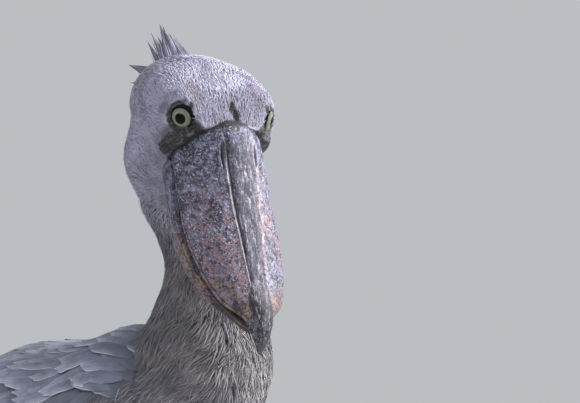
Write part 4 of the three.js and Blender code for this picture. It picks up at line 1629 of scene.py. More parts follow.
class Lie:
    """Which way the plumage lies, and where each kind grows."""

    @staticmethod
    def flow(points: ARRAY) -> ARRAY:
        """The way that plumage points at each place, before it is laid into the skin."""
        local = HEAD.into(points)
        behind = step(-local[:, 0], 30, 85)[:, None]
        back, down = -HEAD.axes[:, 0], np.array([0, 0, -1.0])
        parted = np.sign(local[:, 1:2]) * step(np.abs(local[:, 1]), 4, 40)[:, None] * HEAD.axes[:, 1]
        head = unit(back * (1 - 0.75 * behind) + down * (0.12 + 1.3 * behind) + 0.22 * parted)
        neck = np.tile([0.0, 0.08, -1.0], (len(points), 1))
        rear = step(points[:, 1], -190, -20)[:, None]
        front = np.array([0, 0.22, -1.0])
        tail = np.array([0, 1.0, -0.16])
        body = unit(front * (1 - rear) + tail * rear)
        top = (step(points[:, 2], 735, 790) * step(points[:, 1], -215, -165))[:, None]
        body = unit(body * (1 - top) + np.array([0, 1.0, -0.25]) * top)
        thigh = Lie.on_thigh(points)[:, None]
        body = unit(body * (1 - thigh) + np.array([0, 0.12, -1.0]) * thigh)
        mantle = Lie.on_mantle(points)
        outward = np.tile([0.5, 0.55, -0.7], (len(points), 1))
        outward[:, 0] *= np.sign(points[:, 0])
        body = unit(body * (1 - mantle[:, None]) + outward * mantle[:, None])
        is_neck = step(points[:, 2] - 55 * mantle, 770, 835)[:, None]
        is_head = step(points[:, 2] - 0.35 * (points[:, 1] + 172), 905, 965)[:, None]
        way = body * (1 - is_neck) + neck * is_neck
        return unit(way * (1 - is_head) + head * is_head)

    @staticmethod
    def on_thigh(points: ARRAY) -> ARRAY:
        """One on the thighs and nought elsewhere."""
        return step(-points[:, 2], -545, -500) * step(-points[:, 1], -60, -20)

    @staticmethod
    def on_mantle(points: ARRAY) -> ARRAY:
        """One on the front of the shoulders, whose plumes sweep out and back, and nought elsewhere."""
        x, y, z = points.T
        return step(z, 690, 740) * step(np.abs(x), 14, 42) * step(-y, 60, 115)

    @staticmethod
    def head(points: ARRAY) -> ARRAY:
        """Where head plumage grows."""
        return (points[:, 2] - 0.3 * (points[:, 1] + 172)) > 930

    @staticmethod
    def under_wing(points: ARRAY) -> ARRAY:
        """Where a folded wing covers the skin."""
        x, y, z = points.T
        along = (y > np.where(z > 690, -104, -142)) & (y < 200)
        high = (z > 632 - 0.1 * y) & (z < 760 - 0.35 * np.maximum(y, 0))
        return (np.abs(x) > 52) & along & high


def tuft_faces(rings: int) -> ARRAY:
    """The triangles of one tuft: three along each ring and one at its root."""
    faces = [[0, 2, 1]]
    for ring in range(rings - 1):
        left, top, right = 3 * ring, 3 * ring + 1, 3 * ring + 2
        for near, far in ((left, top), (top, right), (right, left)):
            faces += [[near, far, far + 3], [near, far + 3, near + 3]]
    left, top, right, tip = 3 * rings - 3, 3 * rings - 2, 3 * rings - 1, 3 * rings
    faces += [[left, top, tip], [top, right, tip], [right, left, tip]]
    return np.array(faces)


def tuft_map(shares: Sequence[float]) -> ARRAY:
    """Each point's place across and along one tuft, ring by ring and then its tip."""
    ribs = [[across, along] for along in shares[:-1] for across in (0.0, 0.5, 1.0)]
    return np.array(ribs + [[0.5, 1.0]])


class Coat:
    """The plumage: tufts that leave the skin and lie along it."""

    patch = 0.003
    lid_room = 13.2

    def __init__(self, skin: Object) -> None:
        """Measures the skin."""
        mesh = skin.data
        mesh.calc_loop_triangles()
        corners = np.empty(len(mesh.loop_triangles) * 3, int)
        mesh.loop_triangles.foreach_get("vertices", corners)
        self.corners = corners.reshape(-1, 3)
        self.places = places_of(skin)
        self.normals = normals_of(skin)
        bare = np.empty(len(mesh.vertices))
        mesh.attributes["Bare"].data.foreach_get("value", bare)
        self.bare = bare[self.corners].mean(axis=1)
        a, b, c = (self.places[self.corners[:, i]] for i in range(3))
        self.areas = np.linalg.norm(np.cross(b - a, c - a), axis=1) / 2
        self.centres = (a + b + c) / 3
        self.facing = unit(self.normals[self.corners].mean(axis=1))
        self.tree = BVHTree.FromPolygons(self.places.tolist(), self.corners.tolist())

    def roots(self, density: ARRAY, seed: int) -> tuple[ARRAY, ARRAY]:
        """Draws evenly spread roots.

        Args:
            density: Tufts for each square millimetre, one number a triangle.
            seed: Which draw.

        Returns:
            The roots and the triangle that each one grows from.
        """
        draw = np.random.default_rng(seed)
        total = np.cumsum(self.areas * density)
        count = int(total[-1])
        marks = np.arange(count) + draw.uniform(0.05, 0.95, count)
        face = np.minimum(np.searchsorted(total, marks), len(total) - 1)
        first, second = draw.random((2, count))
        flip = first + second > 1
        first, second = np.where(flip, 1 - first, first), np.where(flip, 1 - second, second)
        a, b, c = (self.places[self.corners[face, i]] for i in range(3))
        return a + (b - a) * first[:, None] + (c - a) * second[:, None], face

    def nearest(self, points: ARRAY) -> tuple[ARRAY, ARRAY]:
        """The nearest places on the skin and the skin's normals there."""
        found = [self.tree.find_nearest(point) for point in points.tolist()]
        places = np.array([tuple(hit[0]) for hit in found])
        return places, self.facing[np.array([hit[2] for hit in found])]

    def grow(self, name: str, kind: Plume, density: ARRAY, seed: int, size: FIELD) -> Flock:
        """Grows one kind of plumage.

        Args:
            name: Only for the log.
            kind: The tuft.
            density: Tufts for each square millimetre of each triangle.
            seed: Which draw.
            size: How large the tufts are at each root, as a share.

        Returns:
            The tufts.
        """
        draw = np.random.default_rng(seed + 1)
        roots, face = self.roots(density, seed)
        count = len(roots)
        share = size(roots) * draw.uniform(0.78, 1.2, count)
        length = kind.length * share
        drift = ripple(roots, 7 * kind.length**0.5, seed + 2)
        wander = kind.stray * (1.3 * drift + draw.normal(0, 0.7, count))
        paths, ups = [roots], [self.facing[face]]
        for _ in range(kind.rings):
            here, up = paths[-1], ups[-1]
            way = flattened(Lie.flow(here), up)
            way = unit(way + np.cross(up, way) * wander[:, None])
            there, normal = self.nearest(here + way * (length / kind.rings)[:, None])
            paths.append(there)
            ups.append(normal)
        shares = np.linspace(0, 1, kind.rings + 1)
        over_wing = 1 + 0.7 * Lie.on_mantle(roots) * step(roots[:, 1], -188, -138)
        rise = kind.rise * over_wing * (0.55 + 0.45 * share) * draw.uniform(0.8, 1.12, count)
        points = np.empty((count, 3 * kind.rings + 1, 3))
        for i, along in enumerate(shares):
            path, up = paths[i], ups[i]
            way = unit(paths[min(i + 1, kind.rings)] - paths[max(i - 1, 0)])
            side = unit(np.cross(way, up))
            high = -0.8 + (rise + 0.8) * math.sin(math.pi / 2 * min(1.0, along * 1.55))
            middle = path + up * high[:, None]
            if i == kind.rings:
                points[:, 3 * i] = middle
                continue
            taper = (0.5 + 0.5 * float(step(along, 0, 0.3))) * (1 - 0.55 * along**2)
            wide = kind.half_width * share * taper
            points[:, 3 * i] = middle - side * wide[:, None]
            points[:, 3 * i + 1] = middle + up * (kind.thick * share * (1 - 0.4 * along))[:, None]
            points[:, 3 * i + 2] = middle + side * wide[:, None]
        flock = Flock()
        vane = tuft_map(shares)
        tone = np.clip(0.5 + 0.3 * ripple(roots, 22, seed + 3) + draw.normal(0, 0.2, count), 0, 1)
        flock.add(points, tuft_faces(kind.rings), vane, self.patches(roots, vane), tone)
        LOG.info("%s: %d tufts", name, count)
        return flock

    @classmethod
    def patches(cls, roots: ARRAY, vane: ARRAY) -> ARRAY:
        """Each tuft's small patch of the unwrap, round the place of its root."""
        return cls.unwrap(roots)[:, None] + cls.patch * (vane[None] - 0.5)

    @staticmethod
    def unwrap(roots: ARRAY) -> ARRAY:
        """A place on the skin's unwrap: round its long axis and along it."""
        local = HEAD.into(roots)
        head = Lie.head(roots)
        head_turn = np.arctan2(local[:, 1], local[:, 2] + 30)
        head_along = (local[:, 0] + 100) / 135
        high = roots[:, 2] > 800
        neck_turn = np.arctan2(roots[:, 0], -(roots[:, 1] + 178))
        neck_along = (roots[:, 2] - 790) / 170
        trunk_turn = np.arctan2(roots[:, 0], roots[:, 2] - 600)
        trunk_along = (roots[:, 1] + 250) / 560
        turn = np.where(head, head_turn, np.where(high, neck_turn, trunk_turn))
        along = np.where(head, head_along, np.where(high, neck_along, trunk_along))
        band = np.where(head, 0.0, np.where(high, 1.0, 2.0))
        u = 0.02 + 0.96 * (turn / (2 * math.pi) + 0.5)
        v = (band + 0.03 + 0.94 * np.clip(along, 0, 1)) / 3
        return np.column_stack([u, v])

    def build(self) -> list[Object]:
        """Grows and dresses all the plumage."""
        down = DownFinish().make()
        fine = DownFinish("head_down", root=0.98, tip=1.01, low=0.95, high=1.05).make()
        centre = self.centres
        covered = (1 - step(self.bare, 0.25, 0.6)).astype(float)
        is_head = Lie.head(centre)
        is_neck = ~is_head & (centre[:, 2] > 800 + 50 * (Lie.on_mantle(centre) > 0.3))
        is_thigh = (Lie.on_thigh(centre) > 0.5) & ~is_head
        trunk = ~(is_head | is_neck | is_thigh)
        is_mantle = trunk & (Lie.on_mantle(centre) > 0.3)
        is_chest = trunk & ~is_mantle & (centre[:, 1] < -95) & (centre[:, 2] > 560)
        is_body = trunk & ~is_mantle & ~is_chest
        local = HEAD.into(centre)
        to_lids = np.min([eye.away(local) for eye in EYES.values()], axis=0)
        ahead = local[:, 0] + drawn_back(local)
        in_bill = (ahead > 15.4) & (ahead < 60) & (np.abs(local[:, 1]) < 48) & (local[:, 2] > -64)
        seen = covered * ~Lie.under_wing(centre) * ~(in_bill | (to_lids < self.lid_room))

        def near_face(points: ARRAY) -> ARRAY:
            """Smaller tufts towards the eyes and the bill."""
            local = HEAD.into(points)
            to_eye = np.min([np.linalg.norm(local - eye.rim, axis=1) for eye in EYES.values()], axis=0)
            return 0.55 + 0.45 * step(np.minimum(to_eye - 12, 18 - local[:, 0]), 2, 40)

        def even(points: ARRAY) -> ARRAY:
            """Full-sized tufts everywhere."""
            return np.ones(len(points))

        def by_place(axis: int, low: float, high: float, least: float) -> FIELD:
            """Tufts that are smallest before low and full-sized beyond high."""
            s = 1 if high > low else -1
            return lambda points: least + (1 - least) * step(s * points[:, axis], s * low, s * high)

        kinds = [
            ("head", Plume(8.5, 0.6, 1.3, 0.16, 3, 0.42, 0.54), is_head, near_face),
            ("neck", Plume(20, 0.66, 3.5, 0.2, 3, 0.4, 0.38), is_neck, by_place(2, 930, 860, 0.7)),
            ("chest", Plume(26, 0.7, 3.4, 0.2, 3, 0.38, 0.33), is_chest, even),
            ("mantle", Plume(30, 0.75, 4.1, 0.2, 3, 0.36, 0.3), is_mantle, even),
            ("body", Plume(42, 3.4, 9.5, 1.2, 4, 0.16, 0.062), is_body, by_place(1, -200, -50, 0.8)),
            ("thigh", Plume(26, 2.2, 6.0, 0.9, 3, 0.14, 0.10), is_thigh, by_place(2, 350, 420, 0.4)),
        ]
        pieces = []
        for number, (name, kind, where, size) in enumerate(kinds):
            for side in Side:
                half = np.sign((local[:, 1] if name == "head" else centre[:, 0]) + 1e-6) == side.value
                density = kind.per_area * where * half * seen
                seed = 100 * number + 10 * (side.value + 1)
                flock = self.grow(f"{name} {side.word}", kind, density, seed, size)
                piece = flock.make(f"plumes_{name}_{side.word}")
                piece.data.materials.append(fine if name == "head" else down)
                pieces.append(piece)
        return pieces


def plate_template(rows: int, columns: int) -> ARRAY:
    """The faces of a closed plate: a grid of points on top, the same below, and its rim."""
    count = rows * columns
    faces = []
    for row in range(rows - 1):
        for column in range(columns - 1):
            i = row * columns + column
            faces.append([i, i + 1, i + columns + 1, i + columns])
            faces.append([i + count, i + count + columns, i + count + columns + 1, i + count + 1])
    rim = [row * columns for row in range(rows)]
    rim += [(rows - 1) * columns + column for column in range(1, columns)]
    rim += [row * columns + columns - 1 for row in range(rows - 2, -1, -1)]
    rim += list(range(columns - 2, 0, -1))
    for i, start in enumerate(rim):
        end = rim[(i + 1) % len(rim)]
        faces.append([start, start + count, end + count, end])
    return np.array(faces)


class Outline(Enum):
    """How a vane's half width runs from its root to its tip."""

    COVERT = (
        (0, 0.5),
        (0.2, 0.9),
        (0.45, 1.0),
        (0.7, 0.98),
        (0.82, 0.88),
        (0.9, 0.72),
        (0.96, 0.48),
        (1.0, 0.1),
    )
    FLIGHT = ((0, 0.4), (0.2, 0.85), (0.6, 1.0), (0.85, 0.86), (0.95, 0.55), (1.0, 0.12))


@dataclass
class Vanes:
    """Firm feathers laid side by side on a surface, each a thin closed plate."""

    surface: SURFACE
    draw: np.random.Generator
    cells: int = 18
    rows: int = 10
    columns: int = 7
    thick: float = 0.45
    flock: Flock = field(default_factory=Flock)
    number: int = 0

    def add(
        self,
        start: float,
        across: float,
        length: float,
        half_width: float,
        rise: RISE,
        tone: float = 0.5,
        uneven: float = 0.2,
        drift: tuple[float, float] = (0.0, 0.0),
        outline: Outline = Outline.COVERT,
        camber: float = 1.0,
    ) -> None:
        """Adds one feather.

        Args:
            start: Where its root is along the surface.
            across: Where its middle is across the surface.
            length: Its length.
            half_width: Half its width.
            rise: Its height from its share along, its share across and its place.
            tone: How pale such feathers are, from 0 to 1.
            uneven: How much one differs from the next.
            drift: How far their tips stray across, and how much that differs.
            outline: Its outline.
            camber: How much higher its shaft is than its edges.
        """
        paleness = float(np.clip(tone + uneven * self.draw.normal(), 0, 1))
        stray = drift[0] + drift[1] * self.draw.normal() if drift[1] else 0.0
        draw = np.random.default_rng(int(self.draw.integers(1 << 30)))
        shares = np.sin(np.linspace(0, math.pi / 2, self.rows)) ** 1.15
        sides = np.linspace(-1, 1, self.columns)
        along, aside = (grid.ravel() for grid in np.meshgrid(shares, sides, indexing="ij"))
        wide = Profile(outline.value)(along)[:, 0] * half_width
        ragged = 1 + 0.05 * np.sin(along * 23 + draw.uniform(0, 6)) * np.abs(aside)
        ragged = ragged + 0.03 * draw.normal(size=len(along))
        place = start + length * along - 0.06 * length * np.abs(aside) ** 2 * step(along, 0.3, 1)
        middle = across + stray * along
        base = rise(along, aside, place) + 1.4 * camber * (1 - aside**2) * step(along, 0, 0.4)
        points = []
        for face in (1, -1):
            high = base + face * self.thick * (1 - 0.45 * np.abs(aside)) * (1 - 0.5 * along)
            points.append(self.surface(place, middle + 0 * along, high, aside * wide * ragged))
        vane = np.column_stack([(aside + 1) / 2, along])
        vane = np.vstack([vane, vane])
        row, column = divmod(self.number % self.cells**2, self.cells)
        patch = (np.array([column, row]) + 0.08 + 0.84 * vane) / self.cells
        faces = plate_template(self.rows, self.columns)
        self.flock.add(np.vstack(points)[None], faces, vane, patch[None], np.array([paleness]))
        self.number += 1

    def make(self, name: str, finish: VaneFinish, slot: str) -> Object:
        """Makes the piece and dresses it."""
        piece = self.flock.make(name)
        turn_outwards(piece, merge=False)
        finish.put_on(piece)
        return piece


@dataclass
class Wing:
    """A folded wing: an arm on the flank, coverts, scapulars over the back and flight feathers."""

    side: Side
    torso: ROWS = Body.torso + ((330, 42, 588, 26, 20), (420, 40, 582, 24, 14))
    arm_from: float = -166.0
    arm_to: float = 66.0
    heights: ROWS = (
        (-208, -2, -2),
        (-155, 0, 1),
        (-112, 4, 4),
        (-84, 6, 4.5),
        (-52, 9, 13.5),
        (-20, 10, 21),
        (0, 10, 20),
        (18, 10, 19.2),
        (66, 10, 21),
        (420, 8, 18),
    )
    edges: ROWS = ((-208, 2, 22), (-150, -20, 62), (-60, -29, 76), (0, -31, 82), (66, -31, 84))
    covert_tiers: int = 10
    covert_pitch: float = 19.0
    scapular_tiers: int = 12
    scapular_pitch: float = 15.5
    scapulars_in_tier: int = 9
    outer_flights: int = 6
    inner_flights: int = 14

    def __post_init__(self) -> None:
        """Draws the wing's curves."""
        self.at = Profile(self.torso)
        self.height_at = Profile(self.heights)
        self.edge_at = Profile(self.edges)

    def flank(self, place: ARRAY, degrees: ARRAY, height: ARRAY, aside: ARRAY) -> ARRAY:
        """A place over the flank.

        Args:
            place: Along the body.
            degrees: Round it, from level to the back.
            height: Above its skin.
            aside: Further round, in millimetres.

        Returns:
            The places.
        """
        half_width, middle, up, down = self.at(place).T
        flatness = 1 + 0.6 * step(place, 225, 300)
        reach = aside / ((half_width + (up + down) / 2) / 2 + 10)
        turn = np.minimum(np.radians(degrees) + reach, math.radians(89.8))
        out, rise = oval(turn, half_width + height, up + height, down + height, flatness)
        return np.column_stack([self.side.value * out, place, middle + rise])

    def arm_height(self, place: ARRAY, degrees: ARRAY) -> ARRAY:
        """How far the arm stands off the flank."""
        lower, upper = self.height_at(place).T
        return lower + (upper - lower) * np.clip((degrees + 30) / 110, 0, 1)

    def arm(self) -> Object:
        """Makes the arm under the coverts."""

        def shape(turn: ARRAY, share: ARRAY) -> ARRAY:
            """Places each point of the arm."""
            start = self.arm_from + 6
            place = start + (self.arm_to - start) * (1 - np.cos(math.pi * share)) / 2
            low, high = self.edge_at(place).T
            opened = np.sqrt(np.clip(1 - (2 * share - 1) ** 8, 0, 1))
            degrees = (low + high) / 2 + (high - low) / 2 * np.cos(turn) * opened
            top = np.clip(np.sin(turn), -1, 1) * opened
            over = (self.arm_height(place, degrees) - 3) * np.abs(top) ** 0.6
            height = np.where(top > 0, over, -6 * np.abs(top))
            return self.flank(place, degrees, height, np.zeros(len(place)))

        piece = moulded(f"wing_arm_{self.side.word}", 64, 60, shape)
        # The arm wears painted shade: the plumage's colour darkened under the coverts.
        piece.data.materials.append(bpy.data.materials["under_down"])
        return piece

    def coverts(self) -> Object:
        """Makes the tiers of coverts."""
        draw = np.random.default_rng(41)
        vanes = Vanes(self.flank, draw, cells=20)
        for tier in range(self.covert_tiers):
            root = -162 + self.covert_pitch * tier
            low, high = self.edge_at(np.array([root + 30.0]))[0]
            half_width = 12.5 + 0.9 * tier
            length = 40 + 7 * tier
            count = int(math.radians(high - low) * 128 / (1.35 * half_width))
            for i in range(count):
                share = (i + 0.5 * (tier % 2)) / max(count - 1, 1)
                degrees = low + 3 + (high - low - 4) * share
                vanes.add(
                    root + 2 * draw.normal() + 8 * (1 - (2 * share - 1) ** 2) - 4,
                    degrees,
                    length * draw.uniform(0.92, 1.08),
                    half_width * draw.uniform(0.92, 1.08),
                    self.shingle(degrees, 0.2 * draw.normal()),
                    uneven=0.22,
                    drift=(-2, 4),
                )
        finish = VaneFinish(f"covert_{self.side.word}")
        return vanes.make(f"coverts_{self.side.word}", finish, "plumage")

    def shingle(self, degrees: float, lift: float) -> RISE:
        """The rise of a covert that lies over the next tier."""

        def rise(along: ARRAY, aside: ARRAY, place: ARRAY) -> ARRAY:
            """Height over the flank."""
            held = np.minimum(place, self.arm_to + 40)
            base = self.arm_height(held, degrees + 0 * place) - 3.0 + lift
            return base + 3.4 * along - 0.9 * aside

        return rise

    def mantled(self, degrees: float) -> RISE:
        """The rise of a scapular, which lies flatter towards the middle of the back."""

        def rise(along: ARRAY, aside: ARRAY, place: ARRAY) -> ARRAY:
            """Height over the flank."""
            held = np.minimum(place, 160)
            flat = 1 - 0.75 * step(degrees, 60, 78)
            base = self.arm_height(held, degrees + 0 * place) - 1.5 - 3 * (1 - flat)
            return base + 6.5 * flat * along - 1.2 * aside

        return rise

    def scapulars(self) -> Object:
        """Makes the long rounded feathers from the shoulder over the back."""
        draw = np.random.default_rng(43)
        vanes = Vanes(self.flank, draw, cells=12, thick=0.5)
        for tier in range(self.scapular_tiers):
            root = -148 + self.scapular_pitch * tier
            length = 38 + 8.6 * tier
            for i in range(self.scapulars_in_tier):
                degrees = 43 + 5.4 * i + (2.7 if tier % 2 else 0) + draw.normal()
                vanes.add(
                    root + 3 * draw.normal(),
                    degrees,
                    length * draw.uniform(0.93, 1.07),
                    (9.6 + 0.55 * tier) * draw.uniform(0.85, 1.15),
                    self.mantled(degrees),
                    tone=0.55,
                    drift=(-3, 4),
                    camber=1.6,
                )
        finish = VaneFinish(
            f"scapular_{self.side.word}", web=(146, 149, 171), dark=(104, 107, 127), rim=(216, 216, 228)
        )
        return vanes.make(f"scapulars_{self.side.word}", finish, "plumage")

    def flights(self) -> Object:
        """Makes the flight feathers, the long outer ones beneath."""
        draw = np.random.default_rng(47)
        vanes = Vanes(self.flank, draw, cells=6, rows=20, thick=0.5)
        outer, inner = self.outer_flights, self.inner_flights
        for i in range(outer + inner):
            is_outer = i < outer
            share = i / (outer - 1) if is_outer else (i - outer) / (inner - 1)
            root, tip = (44, 393 - 30 * share) if is_outer else (20, 348 - 62 * share)
            level = 2.4 + 0.92 * i
            vanes.add(
                root,
                -10 + 20 * share if is_outer else -18 + 92 * share,
                tip - root + 4 * draw.normal(),
                15.5 if is_outer else 20,
                lambda along, aside, place, h=level: h + 0.45 * aside + 0 * along,
                tone=0.45,
                outline=Outline.FLIGHT,
                camber=0.4,
            )
        finish = VaneFinish(
            f"flight_{self.side.word}", web=(52, 53, 62), dark=(28, 28, 33), rim=(84, 85, 94), barbs=40.0
        )
        return vanes.make(f"flights_{self.side.word}", finish, "flight_feather")

    def build(self) -> list[Object]:
        """Makes the whole wing."""
        pieces = [self.arm(), self.coverts(), self.scapulars(), self.flights()]
        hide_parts(f"wing_{self.side.word}")
        return pieces


@dataclass
class Tail:
    """A fan of dark feathers, the middle one on top, with coverts over its root."""

    root_place: float = 250.0
    root_height: float = 577.0
    count: int = 12
    slope: float = -0.2
    length: float = 206.0

    def surface(self, place: ARRAY, across: ARRAY, height: ARRAY, aside: ARRAY) -> ARRAY:
        """A place on the fan: place from the root, across as the feather's number from the middle."""
        fan = np.radians(3.05 * across)
        side = 1.6 * across + place * np.sin(fan) + aside * np.cos(fan)
        back = self.root_place + place * np.cos(fan) - aside * np.sin(fan)
        middle = self.root_height + self.slope * (back - self.root_place)
        return np.column_stack([side, back, middle + height])

    def build(self) -> list[Object]:
        """Makes the tail."""
        draw = np.random.default_rng(53)
        vanes = Vanes(self.surface, draw, cells=4, rows=16, thick=0.5)
        for number in range(self.count):
            offset = number - (self.count - 1) / 2
            length = self.length - 0.9 * offset * offset
            vanes.add(0.0, offset, length, 17, self.stacked(offset), outline=Outline.FLIGHT, camber=0.5)
        dark = VaneFinish(
            "tail_vane", web=(60, 61, 71), dark=(34, 34, 40), rim=(92, 93, 102), edge=0.94, barbs=34.0
        )
        fan = vanes.make("tail_fan", dark, "flight_feather")
        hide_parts("tail")
        return [fan, self.coverts(draw)]

    @staticmethod
    def stacked(offset: float) -> RISE:
        """The rise of a feather of the fan, lower the further it is from the middle."""

        def rise(along: ARRAY, aside: ARRAY, place: ARRAY) -> ARRAY:
            """Height over the fan's slope."""
            opened = 0.3 + 0.7 * along
            return -1.25 * abs(offset) * opened - math.copysign(1.0, offset) * aside * opened

        return rise

    def coverts(self, draw: np.random.Generator) -> Object:
        """Makes three tiers of coverts over the fan's root and three under it."""
        vanes = Vanes(self.surface, draw, cells=8)
        for sign, base, reach in ((1, 6, 84), (-1, -16, 96)):
            for tier in range(3):
                for i in range(6):
                    offset = (i - 2.5) * 1.7 + (0.8 if tier % 2 else 0)
                    start = -24 + 24 * tier + 4 * draw.normal()
                    length = reach * draw.uniform(0.9, 1.06)
                    rise = self.layered(base - 0.9 * abs(offset), sign)
                    vanes.add(start, offset, length, 14, rise, camber=sign)
        finish = VaneFinish("tail_covert", web=(126, 126, 138), dark=(88, 88, 98))
        return vanes.make("tail_coverts", finish, "plumage")

    @staticmethod
    def layered(level: float, sign: int) -> RISE:
        """The rise of a tail covert, over or under the fan."""
        return lambda along, aside, place: level + sign * 2.5 * along - 0.8 * aside * sign


@dataclass
class Crest:
    """A ragged crest on the nape, feather by feather, each with its loose wisps."""

    rows: ROWS = (
        (-11, -27, -121, -10, -29.4, 6.5),
        (-6, -24, -118, -8.5, -28, 6.5),
        (-2, -22, -110, -5, -27, 6.0),
        (1, -21, -102, -2, -26, 5.5),
        (-15, -30, -114, -18, -32.5, 5.0),
        (-19, -32, -108, -22, -35.6, 4.5),
        (-12, -29, -112, -13, -33, 5.0),
        (-15, -43, -90, -39, -43.5, 12.0),
        (-20, -39, -87, -36, -42, 9.0),
        (-33, -37, -65, -49, -35, 4.0),
    )
    sunk: float = 12.0
    wisps: int = 26
    rings: int = 8

    def strand(
        self, root: ARRAY, ahead: ARRAY, length: float, half_width: float, bend: ARRAY
    ) -> ARRAY:
        """The points of one pointed strand, in the head's frame."""
        over = flattened(np.array([0.0, 0.0, 1.0]), ahead)
        across = np.cross(ahead, over)
        points = []
        for i in range(self.rings + 1):
            along = i / self.rings
            middle = root + ahead * ((length + self.sunk) * along - self.sunk) + bend * along * along
            if i == self.rings:
                points.append(middle)
                continue
            taper = float(dome(along, 0.35)) if along < 0.35 else 1 - ((along - 0.35) / 0.65) ** 1.2
            wide = half_width * max(taper, 0.12)
            points += [middle - across * wide, middle + over * 0.45 * wide, middle + across * wide]
        return np.array(points)

    def build(self) -> list[Object]:
        """Makes the crest."""
        draw = np.random.default_rng(61)
        flock = Flock()
        vane = tuft_map([i / self.rings for i in range(self.rings + 1)])
        faces = tuft_faces(self.rings)
        for y, z, *end, half_width in self.rows:
            root = np.array([-85 + 0.018 * (y * y + (z + 34) ** 2), y, z])
            ahead = unit(np.array(end) - root)
            length = 1.12 * float(np.linalg.norm(np.array(end) - root))
            strands = [(root, ahead, length, 0.8 * half_width, np.zeros(3), 0.3)]
            for _ in range(self.wisps):
                spread = draw.normal(0, 0.55, 3) * half_width * [0.3, 1, 0.8]
                start = root + spread
                far = length * draw.uniform(0.3, 0.8)
                tip = root + ahead * length + spread * draw.uniform(0.0, 0.35)
                way = unit(tip - start)
                wide, bend = draw.uniform(0.45, 0.9), draw.normal(0, 0.9, 3)
                strands.append((start, way, far, wide, bend, draw.uniform(0.2, 0.9)))
            for start, way, far, wide, bend, tone in strands:
                points = HEAD.out(self.strand(start, way, far, wide, bend))
                patch = Coat.patches(HEAD.out(start[None]), vane)
                flock.add(points[None], faces, vane, patch, np.array([tone]))
        piece = flock.make("crest")
        DownFinish("crest_down", tip=0.5, low=0.8, high=1.1).put_on(piece)
        return [piece]


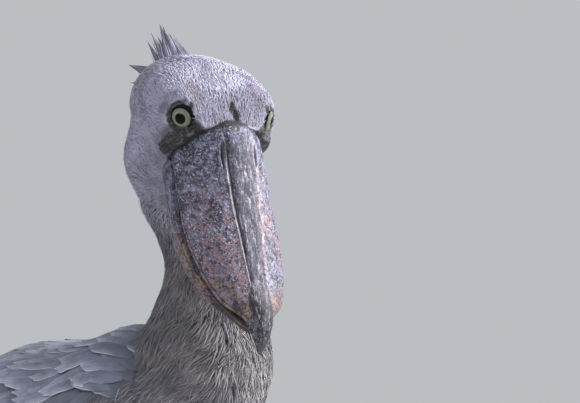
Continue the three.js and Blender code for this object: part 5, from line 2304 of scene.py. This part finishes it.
@dataclass
class Leg:
    """A bare scaly leg with its foot and four long toes, in one skin, and its claws."""

    side: Side
    heel: float = 245.0
    middle_toe: float = 163.0
    toe_radius: float = 8.2
    claw_length: float = 19.0
    toe_scute: float = 4.6
    shank_scute: float = 8.5
    voxel: float = 1.7
    toes: tuple[tuple[str, float, float, int], ...] = (
        ("middle", 4, 1.0, 4),
        ("inner", -25, 0.78, 3),
        ("outer", 32, 0.86, 4),
        ("hind", 168, 0.52, 2),
    )

    @property
    def ahead(self) -> float:
        """How far this foot stands ahead."""
        return STRIDE[self.side]

    def shank(self) -> Object:
        """Makes the leg from inside the thigh to the foot."""
        x, ahead = self.side.value * LEG_SIDE, self.ahead
        points = (
            (x, -2 - ahead, 392, 9),
            (x, 6 - ahead, 340, 9.5),
            (x, 18 - ahead, 290, 10),
            (x, 27 - ahead, self.heel, 15),
            (x, 20 - ahead, 195, 10.5),
            (x, 11 - ahead, 130, 9.5),
            (x, 3 - ahead, 60, 10),
            (x, -2 - ahead, 8, 13),
        )
        return moulded(f"shank_{self.side.word}", 40, 96, limb(points, (6, 6)))

    def sole(self) -> Object:
        """Makes the ball of the foot."""

        def shape(turn: ARRAY, share: ARRAY) -> ARRAY:
            """Places each point of the sole."""
            middle = [self.side.value * LEG_SIDE, -6 - self.ahead, 9]
            spot = on_ball(turn, share) * [19, 24, 17] + middle
            spot[:, 2] = np.maximum(spot[:, 2], 0.3)
            return spot

        return moulded(f"sole_{self.side.word}", 40, 24, shape)

    def line(self, degrees: float) -> tuple[ARRAY, ARRAY, ARRAY]:
        """Where a toe starts, which way it points and what lies beside it."""
        turn = math.radians(degrees)
        way = np.array([self.side.value * math.sin(turn), -math.cos(turn), 0.0])
        start = np.array([self.side.value * LEG_SIDE, -6 - self.ahead, 0.0])
        return start, way, np.array([-way[1], way[0], 0.0])

    def toe(self, name: str, degrees: float, share_of: float, joints: int) -> Object:
        """Makes one toe, padded under its joints."""
        start, way, aside = self.line(degrees)
        length = self.middle_toe * share_of

        def shape(turn: ARRAY, share: ARRAY) -> ARRAY:
            """Places each point of the toe."""
            far = 4 + (length - 4) * share
            knuckle = 0.9 * np.maximum(0, np.cos(2 * math.pi * joints * share))
            opened = dome(share, 0.04) * dome(1 - share, 0.05)
            radius = (self.toe_radius * (1 - 0.36 * share) + knuckle) * opened
            spot = start + way * far[:, None] + aside * (radius * np.cos(turn))[:, None]
            spot[:, 2] = np.maximum(0.3, self.toe_radius * (0.86 - 0.3 * share) + radius * np.sin(turn))
            return spot

        return moulded(f"toe_{name}_{self.side.word}_core", 28, 72, shape)

    def claws(self) -> Object:
        """Makes the four claws."""
        pieces = []
        for name, degrees, share_of, _ in self.toes:
            shape = self.claw(degrees, self.middle_toe * share_of)
            pieces.append(moulded(f"claw_{name}_{self.side.word}_core", 24, 28, shape))
        return joined(pieces, f"claws_{self.side.word}")

    def claw(self, degrees: float, reach: float) -> SHAPE:
        """The shape of a claw at the end of a toe."""
        start, way, aside = self.line(degrees)

        def shape(turn: ARRAY, share: ARRAY) -> ARRAY:
            """Places each point of the claw."""
            far = reach - 7 + (self.claw_length + 7) * share
            radius = 4 * (1 - share**1.6) * dome(share, 0.1)
            spot = start + way * far[:, None] + aside * (0.8 * radius * np.cos(turn))[:, None]
            spot[:, 2] = np.maximum(0.4, 6.6 - 5.2 * share * share + radius * np.sin(turn))
            return spot

        return shape

    def scutes(self, piece: Object) -> None:
        """Raises rings of scutes along the toes and down the front of the shank."""
        points, normals = places_of(piece), normals_of(piece)
        lift = np.zeros(len(points))
        for _, degrees, share_of, _ in self.toes:
            start, way, aside = self.line(degrees)
            far = (points - start) @ way
            beside = np.abs((points - start) @ aside)
            on = step(far, 26, 34) * step(-beside, -10, -8) * step(points[:, 2], 4, 8)
            on = on * (far < self.middle_toe * share_of)
            seam = np.abs(np.sin(math.pi * far / self.toe_scute)) ** 6
            lift = np.maximum(lift, on * 0.45 * (1 - seam))
        front = step(points[:, 2], 34, 44) * step(-normals[:, 1], 0.1, 0.6)
        seam = np.abs(np.sin(math.pi * points[:, 2] / self.shank_scute)) ** 8
        lift = np.maximum(lift, 0.5 * front * (1 - seam))
        set_places(piece, points + normals * (lift - 0.25)[:, None])

    def build(self) -> list[Object]:
        """Makes the leg."""
        cores = [self.shank(), self.sole(), *(self.toe(*toe) for toe in self.toes)]
        bare = fused(cores, f"bare_leg_{self.side.word}", self.voxel, 2)
        self.scutes(bare)
        word = self.side.word
        LegFinish(f"leg_skin_{word}").put_on(bare)
        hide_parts(f"leg_{word}", f"foot_{word}", *(f"toe_{toe[0]}_{word}" for toe in self.toes))
        claws = self.claws()
        ClawFinish(f"claw_{word}").put_on(claws)
        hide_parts(*(f"claw_{toe[0]}_{word}" for toe in self.toes))
        return [bare, claws]


def faces_of(piece: Object) -> int:
    """How many triangles a piece has."""
    return sum(len(face.vertices) - 2 for face in piece.data.polygons)


def main() -> None:
    """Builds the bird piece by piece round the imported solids."""
    logging.basicConfig(level=logging.INFO, format="%(name)s: %(message)s", stream=sys.stdout)
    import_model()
    deselect()
    plumage_tones()
    vane_marks()
    flecks()
    Studio().build()
    # Plumage colour darkened as painted shade, for the wing's arm where it lies under the coverts.
    DownFinish("under_down", root=0.6, tip=0.6).make()
    skin = Body().build()
    pieces = [skin]
    for eye in EYES.values():
        pieces += eye.build()
    pieces += Bill().build()
    pieces += Coat(skin).build()
    pieces += Crest().build()
    for side in Side:
        pieces += Wing(side).build()
    pieces += Tail().build()
    for side in Side:
        pieces += Leg(side).build()
    total = 0
    for piece in pieces:
        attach(piece, BODY)
        count = faces_of(piece)
        total += count
        LOG.info("%s: %d triangles", piece.name, count)
    LOG.info("all pieces: %d triangles", total)


if __name__ == "__main__":
    main()
